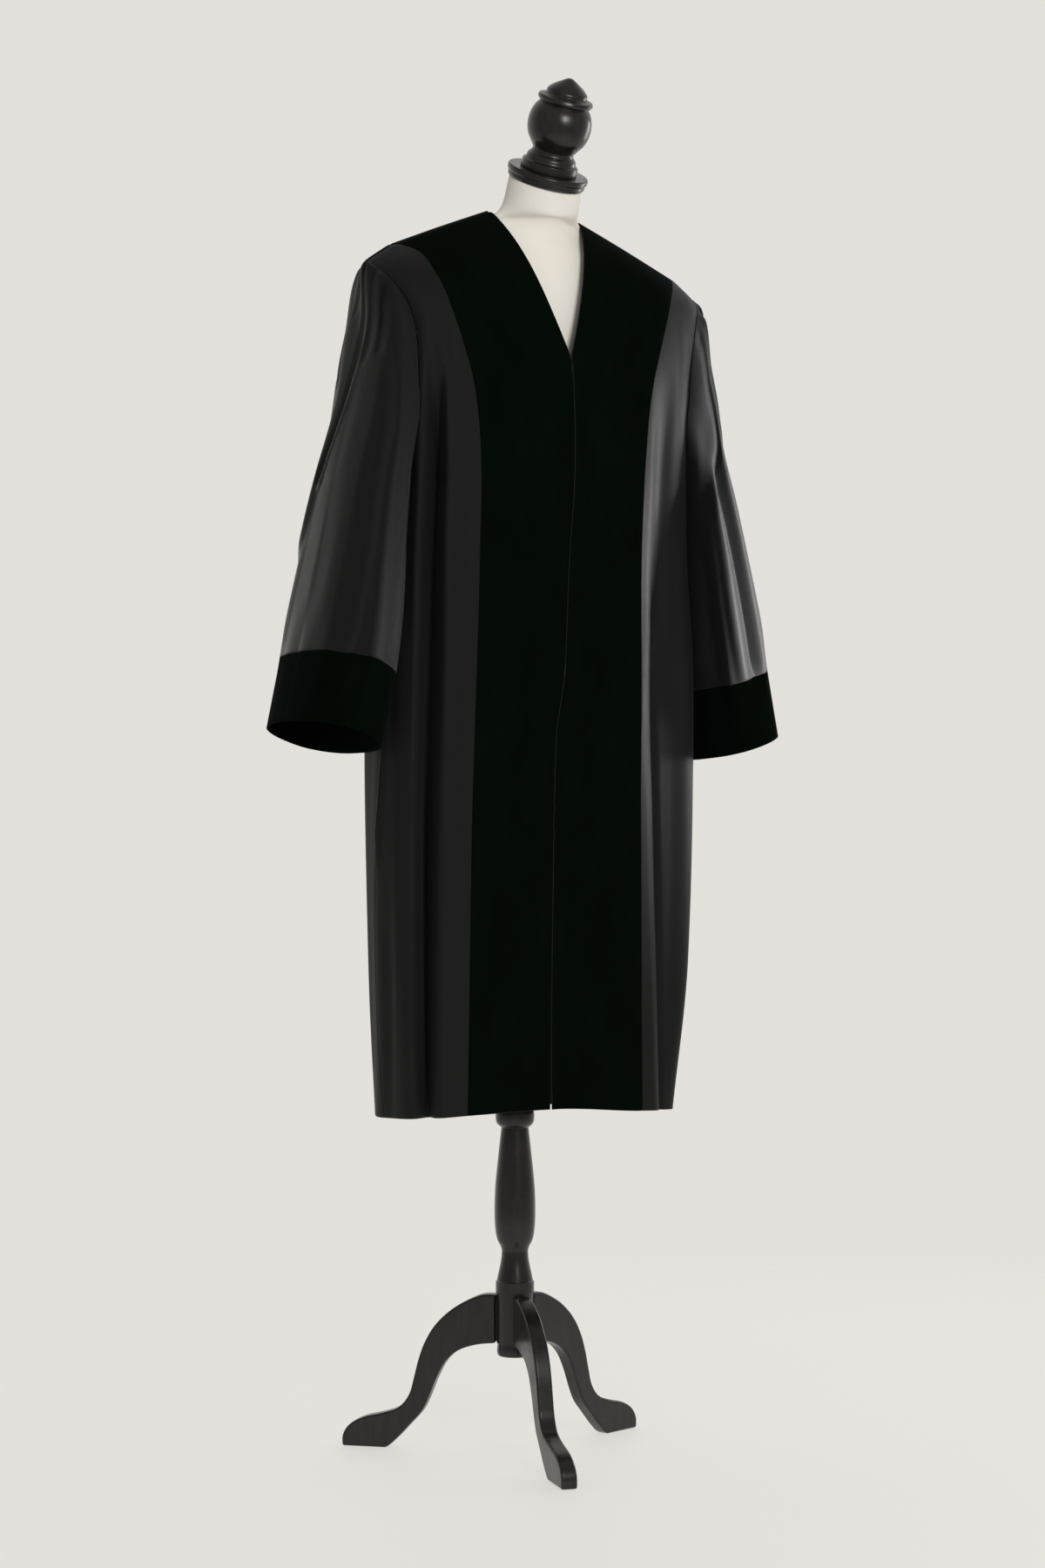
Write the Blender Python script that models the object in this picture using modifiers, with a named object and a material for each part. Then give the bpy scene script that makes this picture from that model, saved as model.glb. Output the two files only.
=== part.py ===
"""Prosecutor robe on a limbless dress form with a turned tripod stand.

Metres, +Z up. The front faces -Y and the wearer's right side lies at -X. The garment is one
surface, described by a ring for each height and a fan of rows up to the shoulder line. Every
cut piece is a patch of that surface, a thin wall, with a narrow gap to its neighbour at each seam.
"""
from functools import lru_cache
from math import cos, hypot, pi, radians, sin, sqrt

import bmesh
import bpy
import numpy as np
from mathutils import Matrix, Vector

# Heights and widths of the robe
HEM = 0.4365
HEM_DROP = 0.0085
ARMPIT = 1.190
FAN_START = 1.347
FAN_END = 1.477
NECK_HALF_WIDTH = 0.064
NECK_POINT_HEIGHT = 1.537
SHOULDER_SLOPE = 0.433
SHOULDER_TIP_X = 0.199
SHOULDER_TIP_SLOPE = 0.25
RIDGE_ROUNDING = 0.012
V_EDGE_CURVE = 0.93
BACK_NECK_HEIGHT = 1.506
YOKE_MIDDLE_HEIGHT = 1.425
YOKE_END = 0.1985
YOKE_END_HEIGHT = 1.4765
YOKE_END_STEP = 0.0008

# How the cloth closes in to the ridge: at the middle, and from OUTER_X outwards
CLOSING_START = (1.20, 1.30)
CLOSING_POWER = (3.0, 3.8)
CLOSING_OUTER_X = 0.15

# Where the hem hangs lower: from this arc on, and from this height down
HEM_DROP_ARC = 0.3
HEM_DROP_TOP = 0.75
HEM_DROP_FADE = 0.3
LEFT_DROP = 0.0045
LEFT_DROP_END = 0.42
LEFT_DROP_FADE = 0.12

# Cloth
WOOL = 0.0016
VELVET = 0.0020
SEAM = 0.00024
RIDGE_SEAM = 0.0002
YOKE_SEAM = 0.0022
SLEEVE_SEAM = 0.0016
CUFF_SEAM = 0.0012

# Closing edge: how far it drifts and where, and how it opens at the top and the foot
CLOSURE_DRIFT = 0.0095
DRIFT_TOP = 0.98
DRIFT_FADE = 0.10
TOP_OPENING = 0.0006
TOP_OPENING_LEVEL = 1.300
FOOT_OPENING = 0.0012
FOOT_OPENING_LEVEL = 0.475
OPENING_FADE = 0.03

# Side seam: its ease, the hand slit in it, and its further ease under the arm
SIDE_EASE = 0.00022
SLIT_OPENING = 0.0009
SLIT_TOP = 0.88
SLIT_FOOT = 0.73
ARM_EASE = 0.0003
ARM_EASE_LEVEL = 1.15

# Rows and columns of the patches
RING_POINTS = 161
TANGENT_STEP = 0.002
HEM_ROWS = 14
ARMHOLE_ROWS = 11
RIDGE_ROW = 0.25
VELVET_COLUMNS = 5
FRONT_COLUMNS = 14
FRONT_STRIP_COLUMNS = 9
FRONT_STRIP = (0.121, 0.212)
FRONT_REACH = 0.300
SQUEEZED_COLUMN = 0.004
BACK_INNER_COLUMNS = 9
BACK_OUTER_COLUMNS = 3
BACK_HALF_WIDTH = 0.236
YOKE_ACROSS = (0.0, 0.022, 0.043, 0.064, 0.098, 0.132, 0.166, 0.1985)
YOKE_ROW_SHARES = (0.0, 0.3, 0.58, 0.8, 0.93, 0.985, 1.0)
SLEEVE_ROWS = 13
SLEEVE_ROW_LEAD = 1.25
CUFF_ROWS = 3
PLEATED_GAPS_FRONT = 5
PLEATED_GAPS_BACK = 4

# Stand
TURNED_STEPS = 24
FINIAL_TILT = radians(28)
PLATE_CENTRE = (0.0, -0.0825, 1.582)
LEG_THICKNESS = 0.020


def table(header, *rows):
    """A small table: each name in the header stands for one column of the rows."""
    return {name: np.array(column, float) for name, column in zip(header.split(), zip(*rows))}


# The garment's ring by height: front and back are depths from the middle line
RINGS = table(
    "height half_width middle  front  back   square bulge",
    (0.420, 0.1930, -0.0350, 0.0700, 0.0880, 4.0, 0.000),
    (0.600, 0.2020, -0.0350, 0.0720, 0.0880, 4.0, 0.000),
    (0.830, 0.2090, -0.0350, 0.0760, 0.0860, 4.0, 0.002),
    (0.980, 0.2055, -0.0350, 0.0820, 0.0860, 4.2, 0.006),
    (1.120, 0.1940, -0.0355, 0.0860, 0.0880, 4.6, 0.012),
    (1.190, 0.1930, -0.0365, 0.0900, 0.0920, 5.0, 0.017),
    (1.300, 0.1990, -0.0400, 0.0880, 0.0990, 5.0, 0.017),
    (1.400, 0.2130, -0.0430, 0.0860, 0.1020, 5.0, 0.013),
    (1.455, 0.2400, -0.0450, 0.0860, 0.1050, 5.0, 0.011),
    (1.560, 0.2500, -0.0450, 0.0860, 0.1200, 5.0, 0.011),
)

# The velvet's outer edge on the wearer's right and left, as an arc length from the front's middle
VELVET_EDGE = table(
    "level  right   left",
    (0.430, 0.1240, 0.1240),
    (0.730, 0.1215, 0.1190),
    (0.950, 0.1185, 0.1140),
    (1.100, 0.1165, 0.1110),
    (1.200, 0.1180, 0.1110),
    (1.250, 0.1205, 0.1145),
    (1.310, 0.1290, 0.1215),
    (1.347, 0.1405, 0.1300),
    (1.380, 0.1530, 0.1420),
    (1.405, 0.1615, 0.1530),
    (1.428, 0.1690, 0.1650),
    (1.460, 0.1800, 0.1880),
    (1.477, 0.1970, 0.2010),
)
FLAT_FRONT = 0.124

# Where the side seam runs, front to back
SIDE_SEAM = table(
    "level  depth_place",
    (0.430, -0.030),
    (0.560, -0.025),
    (0.700, -0.032),
    (0.830, -0.050),
    (0.950, -0.052),
    (1.190, -0.035),
)
ARMHOLE_HALF = 0.071
ARMHOLE_ROUNDING = 0.100

# Long folds of the two fronts: side is -1 on the wearer's right, arcs from the front's middle
FRONT_FOLDS = table(
    "side bottom foot  top   head  low_arc high_arc before after  height",
    (-1, 0.360, 0.16, 1.345, 0.16, 0.1715, 0.1705, 0.010, 0.028, -0.023),
    (-1, 0.200, 0.01, 1.330, 0.30, 0.1560, 0.1570, 0.026, 0.007, 0.003),
    (-1, 0.980, 0.10, 1.400, 0.12, 0.1880, 0.1920, 0.012, 0.018, 0.006),
    (-1, 0.200, 0.01, 1.020, 0.25, 0.2560, 0.2480, 0.030, 0.034, 0.005),
    (1, 0.200, 0.01, 1.010, 0.20, 0.1790, 0.1385, 0.024, 0.050, -0.011),
    (1, 0.800, 0.20, 1.370, 0.16, 0.1420, 0.1460, 0.026, 0.044, -0.012),
    (1, 0.400, 0.22, 1.300, 0.26, 0.2080, 0.1940, 0.030, 0.040, 0.009),
    (1, 0.200, 0.01, 0.960, 0.20, 0.2720, 0.2640, 0.034, 0.036, 0.005),
)

# Soft folds of the back: arcs from the back's middle
BACK_FOLDS = table(
    "side bottom foot  top   head  low_arc high_arc before after  height",
    (-1, 0.200, 0.01, 1.400, 0.50, 0.0480, 0.0340, 0.042, 0.046, 0.011),
    (1, 0.200, 0.01, 1.380, 0.46, 0.0560, 0.0400, 0.040, 0.044, 0.012),
    (-1, 0.200, 0.01, 1.340, 0.44, 0.1420, 0.1060, 0.044, 0.046, 0.013),
    (1, 0.200, 0.01, 1.360, 0.52, 0.1480, 0.1120, 0.046, 0.040, 0.011),
    (-1, 0.200, 0.01, 1.250, 0.50, 0.0960, 0.0760, 0.034, 0.036, -0.009),
    (1, 0.200, 0.01, 1.280, 0.46, 0.1020, 0.0780, 0.036, 0.036, -0.010),
)

# The sleeve's rings: the outer and inner lines of the tube, seen from the front, and its depth
SLEEVE = table(
    "run   outer_x outer_z inner_x inner_z middle  half_depth",
    (0.00, 0.2265, 1.4545, 0.1935, 1.1900, -0.035, 0.082),
    (0.03, 0.2325, 1.4490, 0.1960, 1.1820, -0.036, 0.089),
    (0.10, 0.2345, 1.3950, 0.1995, 1.1640, -0.038, 0.091),
    (0.25, 0.2450, 1.3050, 0.2025, 1.1350, -0.040, 0.094),
    (0.45, 0.2685, 1.2050, 0.2050, 1.1000, -0.040, 0.100),
    (0.65, 0.2885, 1.1100, 0.2075, 1.0520, -0.040, 0.108),
    (0.85, 0.3040, 1.0400, 0.2120, 0.9980, -0.040, 0.112),
    (1.00, 0.3120, 1.0010, 0.2160, 0.9670, -0.040, 0.112),
    (1.36, 0.3340, 0.9030, 0.2340, 0.8670, -0.040, 0.110),
)
SLEEVE_SQUARE = 2.3
SLEEVE_NARROWING = {-1: 0.0, 1: 0.010}
CUFF_START = 1.06
CUFF_END = 1.36
HEAD_BLEND = 0.16

# Long folds of the sleeves: angles run from the outer line over the front of the arm
SLEEVE_FOLDS = table(
    "side start end  high low before after height fade",
    (-1, 0.08, 1.16, 52, 44, 20, 20, -0.010, 0.20),
    (-1, 0.10, 1.20, 72, 86, 18, 16, 0.006, 0.20),
    (-1, 0.04, 0.70, -12, -48, 12, 15, 0.008, 0.10),
    (-1, 0.12, 1.12, 108, 112, 20, 20, -0.008, 0.20),
    (-1, 0.20, 1.14, 222, 226, 26, 26, -0.008, 0.25),
    (1, 0.08, 1.20, 112, 104, 14, 14, 0.007, 0.18),
    (1, 0.10, 1.14, 96, 93, 13, 13, -0.009, 0.18),
    (1, 0.12, 1.20, 80, 82, 14, 14, 0.006, 0.20),
    (1, 0.12, 1.14, 146, 142, 20, 22, -0.008, 0.22),
    (1, 0.10, 1.30, 124, 120, 26, 20, 0.008, 0.22),
    (1, 0.20, 1.14, 232, 228, 26, 26, -0.008, 0.25),
)

# Pleats let into each sleeve head, by angle from the shoulder point
SLEEVE_PLEATS = (-57.3, -40.9, -24.5, -8.2, 8.2, 24.5, 40.9, 57.3)
PLEAT_HALF_WIDTH = 8.2
PLEAT_DEPTH = 0.0065
PLEAT_PEAK = 0.07
PLEAT_END = 0.42

# The dress form's rings, tilted forward at the neck
FORM_RINGS = table(
    "height middle  half_width front  back   throat square tilt",
    (0.7900, -0.035, 0.1150, 0.0500, 0.0500, 0.000, 2.2, 0),
    (0.7960, -0.035, 0.1270, 0.0580, 0.0600, 0.000, 2.3, 0),
    (0.8100, -0.035, 0.1320, 0.0620, 0.0660, 0.000, 2.4, 0),
    (0.8800, -0.035, 0.1360, 0.0640, 0.0690, 0.000, 2.4, 0),
    (1.0200, -0.035, 0.1240, 0.0640, 0.0640, 0.000, 2.3, 0),
    (1.1500, -0.035, 0.1400, 0.0740, 0.0720, 0.000, 2.4, 0),
    (1.2600, -0.036, 0.1580, 0.0770, 0.0790, 0.000, 2.6, 0),
    (1.3500, -0.038, 0.1680, 0.0730, 0.0800, 0.000, 2.8, 0),
    (1.4000, -0.041, 0.1720, 0.0640, 0.0740, 0.002, 2.8, 0),
    (1.4400, -0.043, 0.1720, 0.0520, 0.0600, 0.004, 2.5, 0),
    (1.4650, -0.045, 0.1690, 0.0410, 0.0480, 0.006, 2.2, 0),
    (1.4800, -0.045, 0.1640, 0.0340, 0.0400, 0.009, 2.0, 0),
    (1.4900, -0.045, 0.1500, 0.0260, 0.0290, 0.014, 2.0, 0),
    (1.5000, -0.045, 0.1260, 0.0210, 0.0230, 0.022, 2.0, 0),
    (1.5100, -0.045, 0.1020, 0.0150, 0.0180, 0.030, 2.0, 0),
    (1.5220, -0.047, 0.0655, 0.0122, 0.0150, 0.038, 2.0, 0),
    (1.5340, -0.061, 0.0498, 0.0380, 0.0340, 0.004, 2.0, 18),
    (1.5500, -0.068, 0.0480, 0.0420, 0.0420, 0.000, 2.0, 28),
    (1.5688, -0.0758, 0.0465, 0.0440, 0.0440, 0.000, 2.0, 28),
)
THROAT_HALF_WIDTH = 0.055
FORM_COLUMNS = 28

# The turned column, from its top down its outer side
COLUMN = table(
    "height radius",
    (0.7897, 0.0150),
    (0.4430, 0.0150),
    (0.4385, 0.0195),
    (0.4290, 0.0232),
    (0.4190, 0.0243),
    (0.4110, 0.0228),
    (0.4055, 0.0170),
    (0.3720, 0.0207),
    (0.3340, 0.0245),
    (0.3010, 0.0256),
    (0.2790, 0.0246),
    (0.2660, 0.0222),
    (0.2560, 0.0174),
    (0.2510, 0.0165),
    (0.2147, 0.0226),
    (0.2140, 0.0240),
    (0.2000, 0.0240),
    (0.1993, 0.0228),
    (0.1370, 0.0228),
    (0.1365, 0.0217),
    (0.1230, 0.0217),
    (0.1210, 0.0200),
)

# The neck plate and the finial, along the tilted axis, from the top down
NECK_PLATE = table(
    "height radius",
    (0.0000, 0.0490),
    (-0.0015, 0.0500),
    (-0.0060, 0.0500),
    (-0.0075, 0.0485),
    (-0.0125, 0.0480),
    (-0.0145, 0.0465),
)
FINIAL = table(
    "height radius",
    (0.1125, 0.0030),
    (0.1100, 0.0075),
    (0.0985, 0.0235),
    (0.0960, 0.0250),
    (0.0930, 0.0250),
    (0.0915, 0.0270),
    (0.0895, 0.0330),
    (0.0865, 0.0342),
    (0.0838, 0.0330),
    (0.0815, 0.0298),
    (0.0740, 0.0350),
    (0.0650, 0.0382),
    (0.0560, 0.0391),
    (0.0470, 0.0381),
    (0.0380, 0.0347),
    (0.0300, 0.0290),
    (0.0250, 0.0255),
    (0.0215, 0.0262),
    (0.0170, 0.0300),
    (0.0120, 0.0315),
    (0.0100, 0.0345),
    (0.0040, 0.0352),
    (0.0003, 0.0352),
)

# A leg board's outline: reach from the column's axis and height, from the hub's top round to the heel
LEG_OUTLINE = (
    (0.0232, 0.1975),
    (0.0400, 0.1965),
    (0.0590, 0.1890),
    (0.0800, 0.1765),
    (0.1014, 0.1561),
    (0.1150, 0.1336),
    (0.1230, 0.1117),
    (0.1287, 0.0894),
    (0.1355, 0.0671),
    (0.1480, 0.0520),
    (0.1700, 0.0435),
    (0.1950, 0.0370),
    (0.2130, 0.0270),
    (0.2215, 0.0140),
    (0.2220, 0.0000),
    (0.1660, 0.0000),
    (0.1520, 0.0110),
    (0.1340, 0.0300),
    (0.1180, 0.0480),
    (0.1085, 0.0671),
    (0.0994, 0.0894),
    (0.0869, 0.1117),
    (0.0720, 0.1250),
    (0.0480, 0.1335),
    (0.0232, 0.1365),
)
LEG_DIRECTIONS = {"leg_front": -103.0, "leg_left": 17.0, "leg_right": 137.0}

# Finishes: colour, roughness
FINISHES = {
    "wool": ((0.018, 0.019, 0.021), 0.75),
    "velvet": ((0.004, 0.004, 0.005), 0.95),
    "form_cloth": ((0.62, 0.55, 0.46), 0.85),
    "lacquer": ((0.010, 0.009, 0.009), 0.22),
}


def smooth(t):
    """A soft step from 0 to 1."""
    t = min(max(t, 0.0), 1.0)
    return t * t * (3.0 - 2.0 * t)


def mix(start, end, share):
    return start + (end - start) * share


def read(rows, column, at):
    """A column's value at a place along the table's first column, on a smooth curve."""
    keys = next(iter(rows.values()))
    values = rows[column]
    slopes = np.gradient(values, keys)
    at = min(max(at, keys[0]), keys[-1])
    row = min(int(np.searchsorted(keys, at, side="right")) - 1, len(keys) - 2)
    span = keys[row + 1] - keys[row]
    t = (at - keys[row]) / span
    start = values[row] * (1 + 2 * t) + slopes[row] * span * t
    end = values[row + 1] * (3 - 2 * t) - slopes[row + 1] * span * (1 - t)
    return float(start * (1 - t) ** 2 + end * t * t)


@lru_cache(maxsize=None)
def ring(height):
    """Half of the garment's plan, front middle to back middle: x, y and arc length."""
    half, middle, front, back, square = (
        read(RINGS, name, height) for name in ("half_width", "middle", "front", "back", "square"))
    turn = np.linspace(0, pi, RING_POINTS)
    fore = np.cos(turn)
    x = half * np.abs(np.sin(turn)) ** (2 / square)
    y = middle - np.sign(fore) * np.where(fore > 0, front, back) * np.abs(fore) ** (2 / square)
    arc = np.concatenate([[0.0], np.cumsum(np.hypot(np.diff(x), np.diff(y)))])
    return x, y, arc


def shoulder_line(x):
    """Height of the shoulder's ridge, before its rounding."""
    tip = max(0.0, x - SHOULDER_TIP_X) * SHOULDER_TIP_SLOPE
    return NECK_POINT_HEIGHT + (NECK_HALF_WIDTH - x) * SHOULDER_SLOPE - tip


def raised(level, x):
    """Height of a row: level with the floor up to the fan, then swung up to the shoulder."""
    if level <= FAN_START:
        return level
    share = (level - FAN_START) / (FAN_END - FAN_START)
    return mix(FAN_START, shoulder_line(x), share)


def squeeze(x, height):
    """How far the surface still stands off the shoulder's ridge at a height, from 1 to 0."""
    outer = smooth(x / CLOSING_OUTER_X)
    start = mix(*CLOSING_START, outer)
    power = mix(*CLOSING_POWER, outer)
    ridge = shoulder_line(x)
    rise = max(0.0, (height - start) / (ridge - start))
    slope = (ridge - start) / power
    return max(0.0, 1.0 - rise ** power), slope


def fold_push(folds, side, arc, level):
    """Sum of a table's folds at a place: how far the cloth stands out."""
    push = 0.0
    for k in range(len(folds["side"])):
        fold = {name: column[k] for name, column in folds.items()}
        if fold["side"] != side or not fold["bottom"] < level < fold["top"]:
            continue
        share = (level - fold["bottom"]) / (fold["top"] - fold["bottom"])
        offset = arc - mix(fold["low_arc"], fold["high_arc"], share)
        width = fold["before"] if offset < 0 else fold["after"]
        if abs(offset) < width:
            bump = 0.5 + 0.5 * cos(pi * offset / width)
            rise = smooth((level - fold["bottom"]) / fold["foot"])
            fall = smooth((fold["top"] - level) / fold["head"])
            push += fold["height"] * bump * rise * fall
    return push


def cloth(side, arc, level, behind=False):
    """A point of the robe's outer surface; arc starts at the front's or the back's middle."""
    if arc < 0:
        return cloth(-side, -arc, level, behind)
    height = level
    for _ in range(5):
        xs, ys, arcs = ring(round(height, 5))
        place = arcs[-1] - arc if behind else arc
        x = float(np.interp(place, arcs, xs))
        height = raised(level, x)
    y = float(np.interp(place, arcs, ys))
    ahead, back = np.clip((place + TANGENT_STEP, place - TANGENT_STEP), 0, arcs[-1])
    tangent_x = float(np.interp(ahead, arcs, xs) - np.interp(back, arcs, xs))
    tangent_y = float(np.interp(ahead, arcs, ys) - np.interp(back, arcs, ys))
    length = hypot(tangent_x, tangent_y)
    push = fold_push(FRONT_FOLDS, side, place, level)
    push += fold_push(BACK_FOLDS, side, arcs[-1] - place, level)
    x += push * tangent_y / length
    y -= push * tangent_x / length
    middle = read(RINGS, "middle", height)
    if y < middle:
        y -= read(RINGS, "bulge", height) * (1 - smooth(x / FLAT_FRONT))
    depth = y - middle
    share, slope = squeeze(x, height)
    y = middle + depth * share
    near = RIDGE_ROUNDING - abs(depth) * share
    if level > FAN_START and near > 0:
        height -= slope / abs(depth) * near * near / (2 * RIDGE_ROUNDING)
    drop = HEM_DROP * smooth(place / HEM_DROP_ARC)
    if side > 0:
        drop += LEFT_DROP * smooth(place / LEFT_DROP_FADE) * smooth((LEFT_DROP_END - place) / LEFT_DROP_FADE)
    height -= drop * smooth((HEM_DROP_TOP - level) / HEM_DROP_FADE)
    return Vector((side * x, y, height))


def velvet_edge(side, level):
    """Arc of the velvet's outer edge."""
    return read(VELVET_EDGE, "right" if side < 0 else "left", level)


def closure_gap(level):
    """Half of the gap between the two fronts: it opens at the V's foot and at the hem."""
    top = TOP_OPENING * smooth((level - TOP_OPENING_LEVEL) / OPENING_FADE)
    foot = FOOT_OPENING * smooth((FOOT_OPENING_LEVEL - level) / OPENING_FADE)
    return SEAM + top + foot


def closure_arc(side, level):
    """The closing edge up to the foot of the V, then the V's edge up to the neck point."""
    drift = CLOSURE_DRIFT * smooth((DRIFT_TOP - level) / DRIFT_FADE)
    edge = closure_gap(level) - side * drift
    if level > FAN_START:
        share = (level - FAN_START) / (FAN_END - FAN_START)
        edge += NECK_HALF_WIDTH * share ** V_EDGE_CURVE
    return edge


def arc_at_depth(level, depth_place):
    """Arc at which the ring reaches a place front to back."""
    height = level
    for _ in range(5):
        xs, ys, arcs = ring(round(height, 5))
        arc = float(np.interp(depth_place, ys, arcs))
        height = raised(level, float(np.interp(arc, arcs, xs)))
    return arc, float(arcs[-1])


def side_edge(level, direction):
    """Arc of the side seam, and above the armpit of the armhole's edge, and the ring's length.

    The direction is -1 for the front's edge and 1 for the back's.
    """
    if level <= ARMPIT:
        return arc_at_depth(level, read(SIDE_SEAM, "depth_place", level))
    rise = min(1.0, (level - ARMPIT) / ARMHOLE_ROUNDING)
    reach = ARMHOLE_HALF * sqrt(1 - (1 - rise) ** 2)
    return arc_at_depth(level, SIDE_SEAM["depth_place"][-1] + direction * reach)


def armhole_level(angle):
    """Level on the armhole's edge at an angle from the shoulder point down to the armpit."""
    return mix(ARMPIT, FAN_END, 0.5 + 0.5 * cos(radians(angle)))


def armhole_angles():
    """Angles of the body's points along one edge of the armhole, closest at the shoulder."""
    step = 180 / ARMHOLE_ROWS
    return [0.0, RIDGE_ROW * step, step / 2] + [k * step for k in range(1, ARMHOLE_ROWS + 1)]


def slit_gap(level):
    """Half gap of the side seam: it opens a little at the hand slit and under the arm."""
    slit = SLIT_OPENING * smooth((SLIT_TOP - level) / OPENING_FADE)
    slit *= smooth((level - SLIT_FOOT) / OPENING_FADE)
    arm = ARM_EASE * smooth((level - ARM_EASE_LEVEL) / OPENING_FADE)
    return SEAM + SIDE_EASE + slit + arm


def row_levels():
    """Levels of the body's rows: even up to the armpit, then those of the armhole's edge."""
    low = [mix(HEM, ARMPIT, k / HEM_ROWS) for k in range(HEM_ROWS)]
    high = [armhole_level(angle) for angle in reversed(armhole_angles())]
    high[-1] = FAN_END - RIDGE_SEAM
    return low + high


def sheet(name, points, thickness, finish, loop=False, flip=False):
    """A cloth piece: rows of points on its outer surface, thickened inwards."""
    mesh = bmesh.new()
    rows = [[mesh.verts.new(point) for point in row] for row in points]
    columns = len(rows[0])
    for low, high in zip(rows, rows[1:]):
        for k in range(columns if loop else columns - 1):
            n = (k + 1) % columns
            corners = (low[k], low[n], high[n], high[k])
            mesh.faces.new(corners[::-1] if flip else corners)
    piece = add_object(name, mesh, finish)
    solid = piece.modifiers.new("thickness", "SOLIDIFY")
    solid.thickness = thickness
    solid.offset = -1.0
    return piece


def add_object(name, mesh, finish):
    """An object in the robe's collection from a finished bmesh."""
    data = bpy.data.meshes.new(name)
    mesh.to_mesh(data)
    mesh.free()
    piece = bpy.data.objects.new(name, data)
    collection.objects.link(piece)
    dress(piece, finish)
    return piece


def dress(piece, finish):
    """Give a piece its own material and its place under the root."""
    colour, roughness = FINISHES[finish]
    material = bpy.data.materials.new(piece.name)
    material.use_nodes = True
    shader = material.node_tree.nodes["Principled BSDF"]
    shader.inputs["Base Color"].default_value = (*colour, 1.0)
    shader.inputs["Roughness"].default_value = roughness
    shader.inputs["Metallic"].default_value = 0.0
    piece.data.materials.append(material)
    piece.parent = root


def velvet_front(name, side):
    """The velvet band from the shoulder down to the hem, along the closing edge."""
    points = []
    for level in row_levels():
        inner = closure_arc(side, level)
        outer = velvet_edge(side, level) - SEAM
        points.append([cloth(side, mix(inner, outer, k / VELVET_COLUMNS), level)
                       for k in range(VELVET_COLUMNS + 1)])
    return sheet(name, points, VELVET, "velvet", flip=side < 0)


def front_arcs(side, level):
    """Arcs of a front's columns: fixed ones, squeezed together where its edges close in."""
    inner = velvet_edge(side, level) + SEAM
    outer = side_edge(level, -1)[0] - slit_gap(level)
    last = FRONT_COLUMNS
    least = min(SQUEEZED_COLUMN, (outer - inner) / last)
    arcs = []
    for k in range(last + 1):
        if k < FRONT_STRIP_COLUMNS:
            arc = mix(*FRONT_STRIP, k / FRONT_STRIP_COLUMNS)
        else:
            beyond = (k - FRONT_STRIP_COLUMNS) / (last - FRONT_STRIP_COLUMNS)
            arc = mix(FRONT_STRIP[1], FRONT_REACH, beyond)
        arcs.append(min(max(arc, inner + k * least), outer - (last - k) * least))
    arcs[0] = inner
    arcs[1] = min(arcs[1], inner + SQUEEZED_COLUMN)
    arcs[-1] = outer
    return arcs


def wool_front(name, side):
    """The wool front from the velvet band to the side seam and the armhole."""
    points = [[cloth(side, arc, level) for arc in front_arcs(side, level)] for level in row_levels()]
    return sheet(name, points, WOOL, "wool", flip=side < 0)


def back_reach(level):
    """Arc from the back's middle to its edge at the side seam or the armhole."""
    edge, length = side_edge(level, 1)
    return length - edge - slit_gap(level)


def back_edge(side, level):
    """The point of the back's edge at a level."""
    return cloth(side, back_reach(level), level, behind=True)


@lru_cache(maxsize=None)
def yoke_end_arc():
    """Arc along the back at which the shoulder's ridge meets the velvet's outer edge."""
    low, high = 0.15, 0.24
    for _ in range(30):
        arc = (low + high) / 2
        if cloth(1, arc, FAN_END, behind=True).x < YOKE_END:
            low = arc
        else:
            high = arc
    return low


def yoke_share(across, middle_height, end_height, end):
    """Share of the fan at a cut that rises from a height at the middle to one at its end."""
    height = mix(middle_height, end_height, (across / end) ** 2)
    return (height - FAN_START) / (shoulder_line(across) - FAN_START)


def yoke_low_share(across):
    """Share of the fan at the seam between the yoke and the back."""
    return yoke_share(across, YOKE_MIDDLE_HEIGHT, YOKE_END_HEIGHT, YOKE_END)


def back_arcs(level):
    """Arcs of half the back's columns, with a small step in its top edge at the yoke's end."""
    reach = back_reach(level)
    step = yoke_end_arc() + YOKE_END_STEP
    arcs = [yoke_end_arc() * k / BACK_INNER_COLUMNS for k in range(BACK_INNER_COLUMNS + 1)]
    arcs += [mix(step, BACK_HALF_WIDTH, k / BACK_OUTER_COLUMNS)
             for k in range(BACK_OUTER_COLUMNS + 1)]
    last = len(arcs) - 1
    least = SQUEEZED_COLUMN / 2
    return [min(arc, reach - (last - k) * least) for k, arc in enumerate(arcs[:-1])] + [reach]


def back_point(side, arc, level, inner):
    """A point of the back; below the yoke its rows are swung up only to the yoke's edge."""
    if level > FAN_START and inner:
        share = yoke_low_share(arc / yoke_end_arc() * YOKE_END) - YOKE_SEAM
        level = FAN_START + (level - FAN_START) * share
    return cloth(side, arc, level, behind=True)


def wool_back(name):
    """The back, from side seam to side seam and up to the yoke and the shoulders."""
    points = []
    for level in row_levels():
        half = [(arc, k <= BACK_INNER_COLUMNS) for k, arc in enumerate(back_arcs(level))]
        row = [back_point(-1, arc, level, inner) for arc, inner in reversed(half[1:])]
        row += [back_point(1, arc, level, inner) for arc, inner in half]
        points.append(row)
    return sheet(name, points, WOOL, "wool", flip=True)


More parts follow.
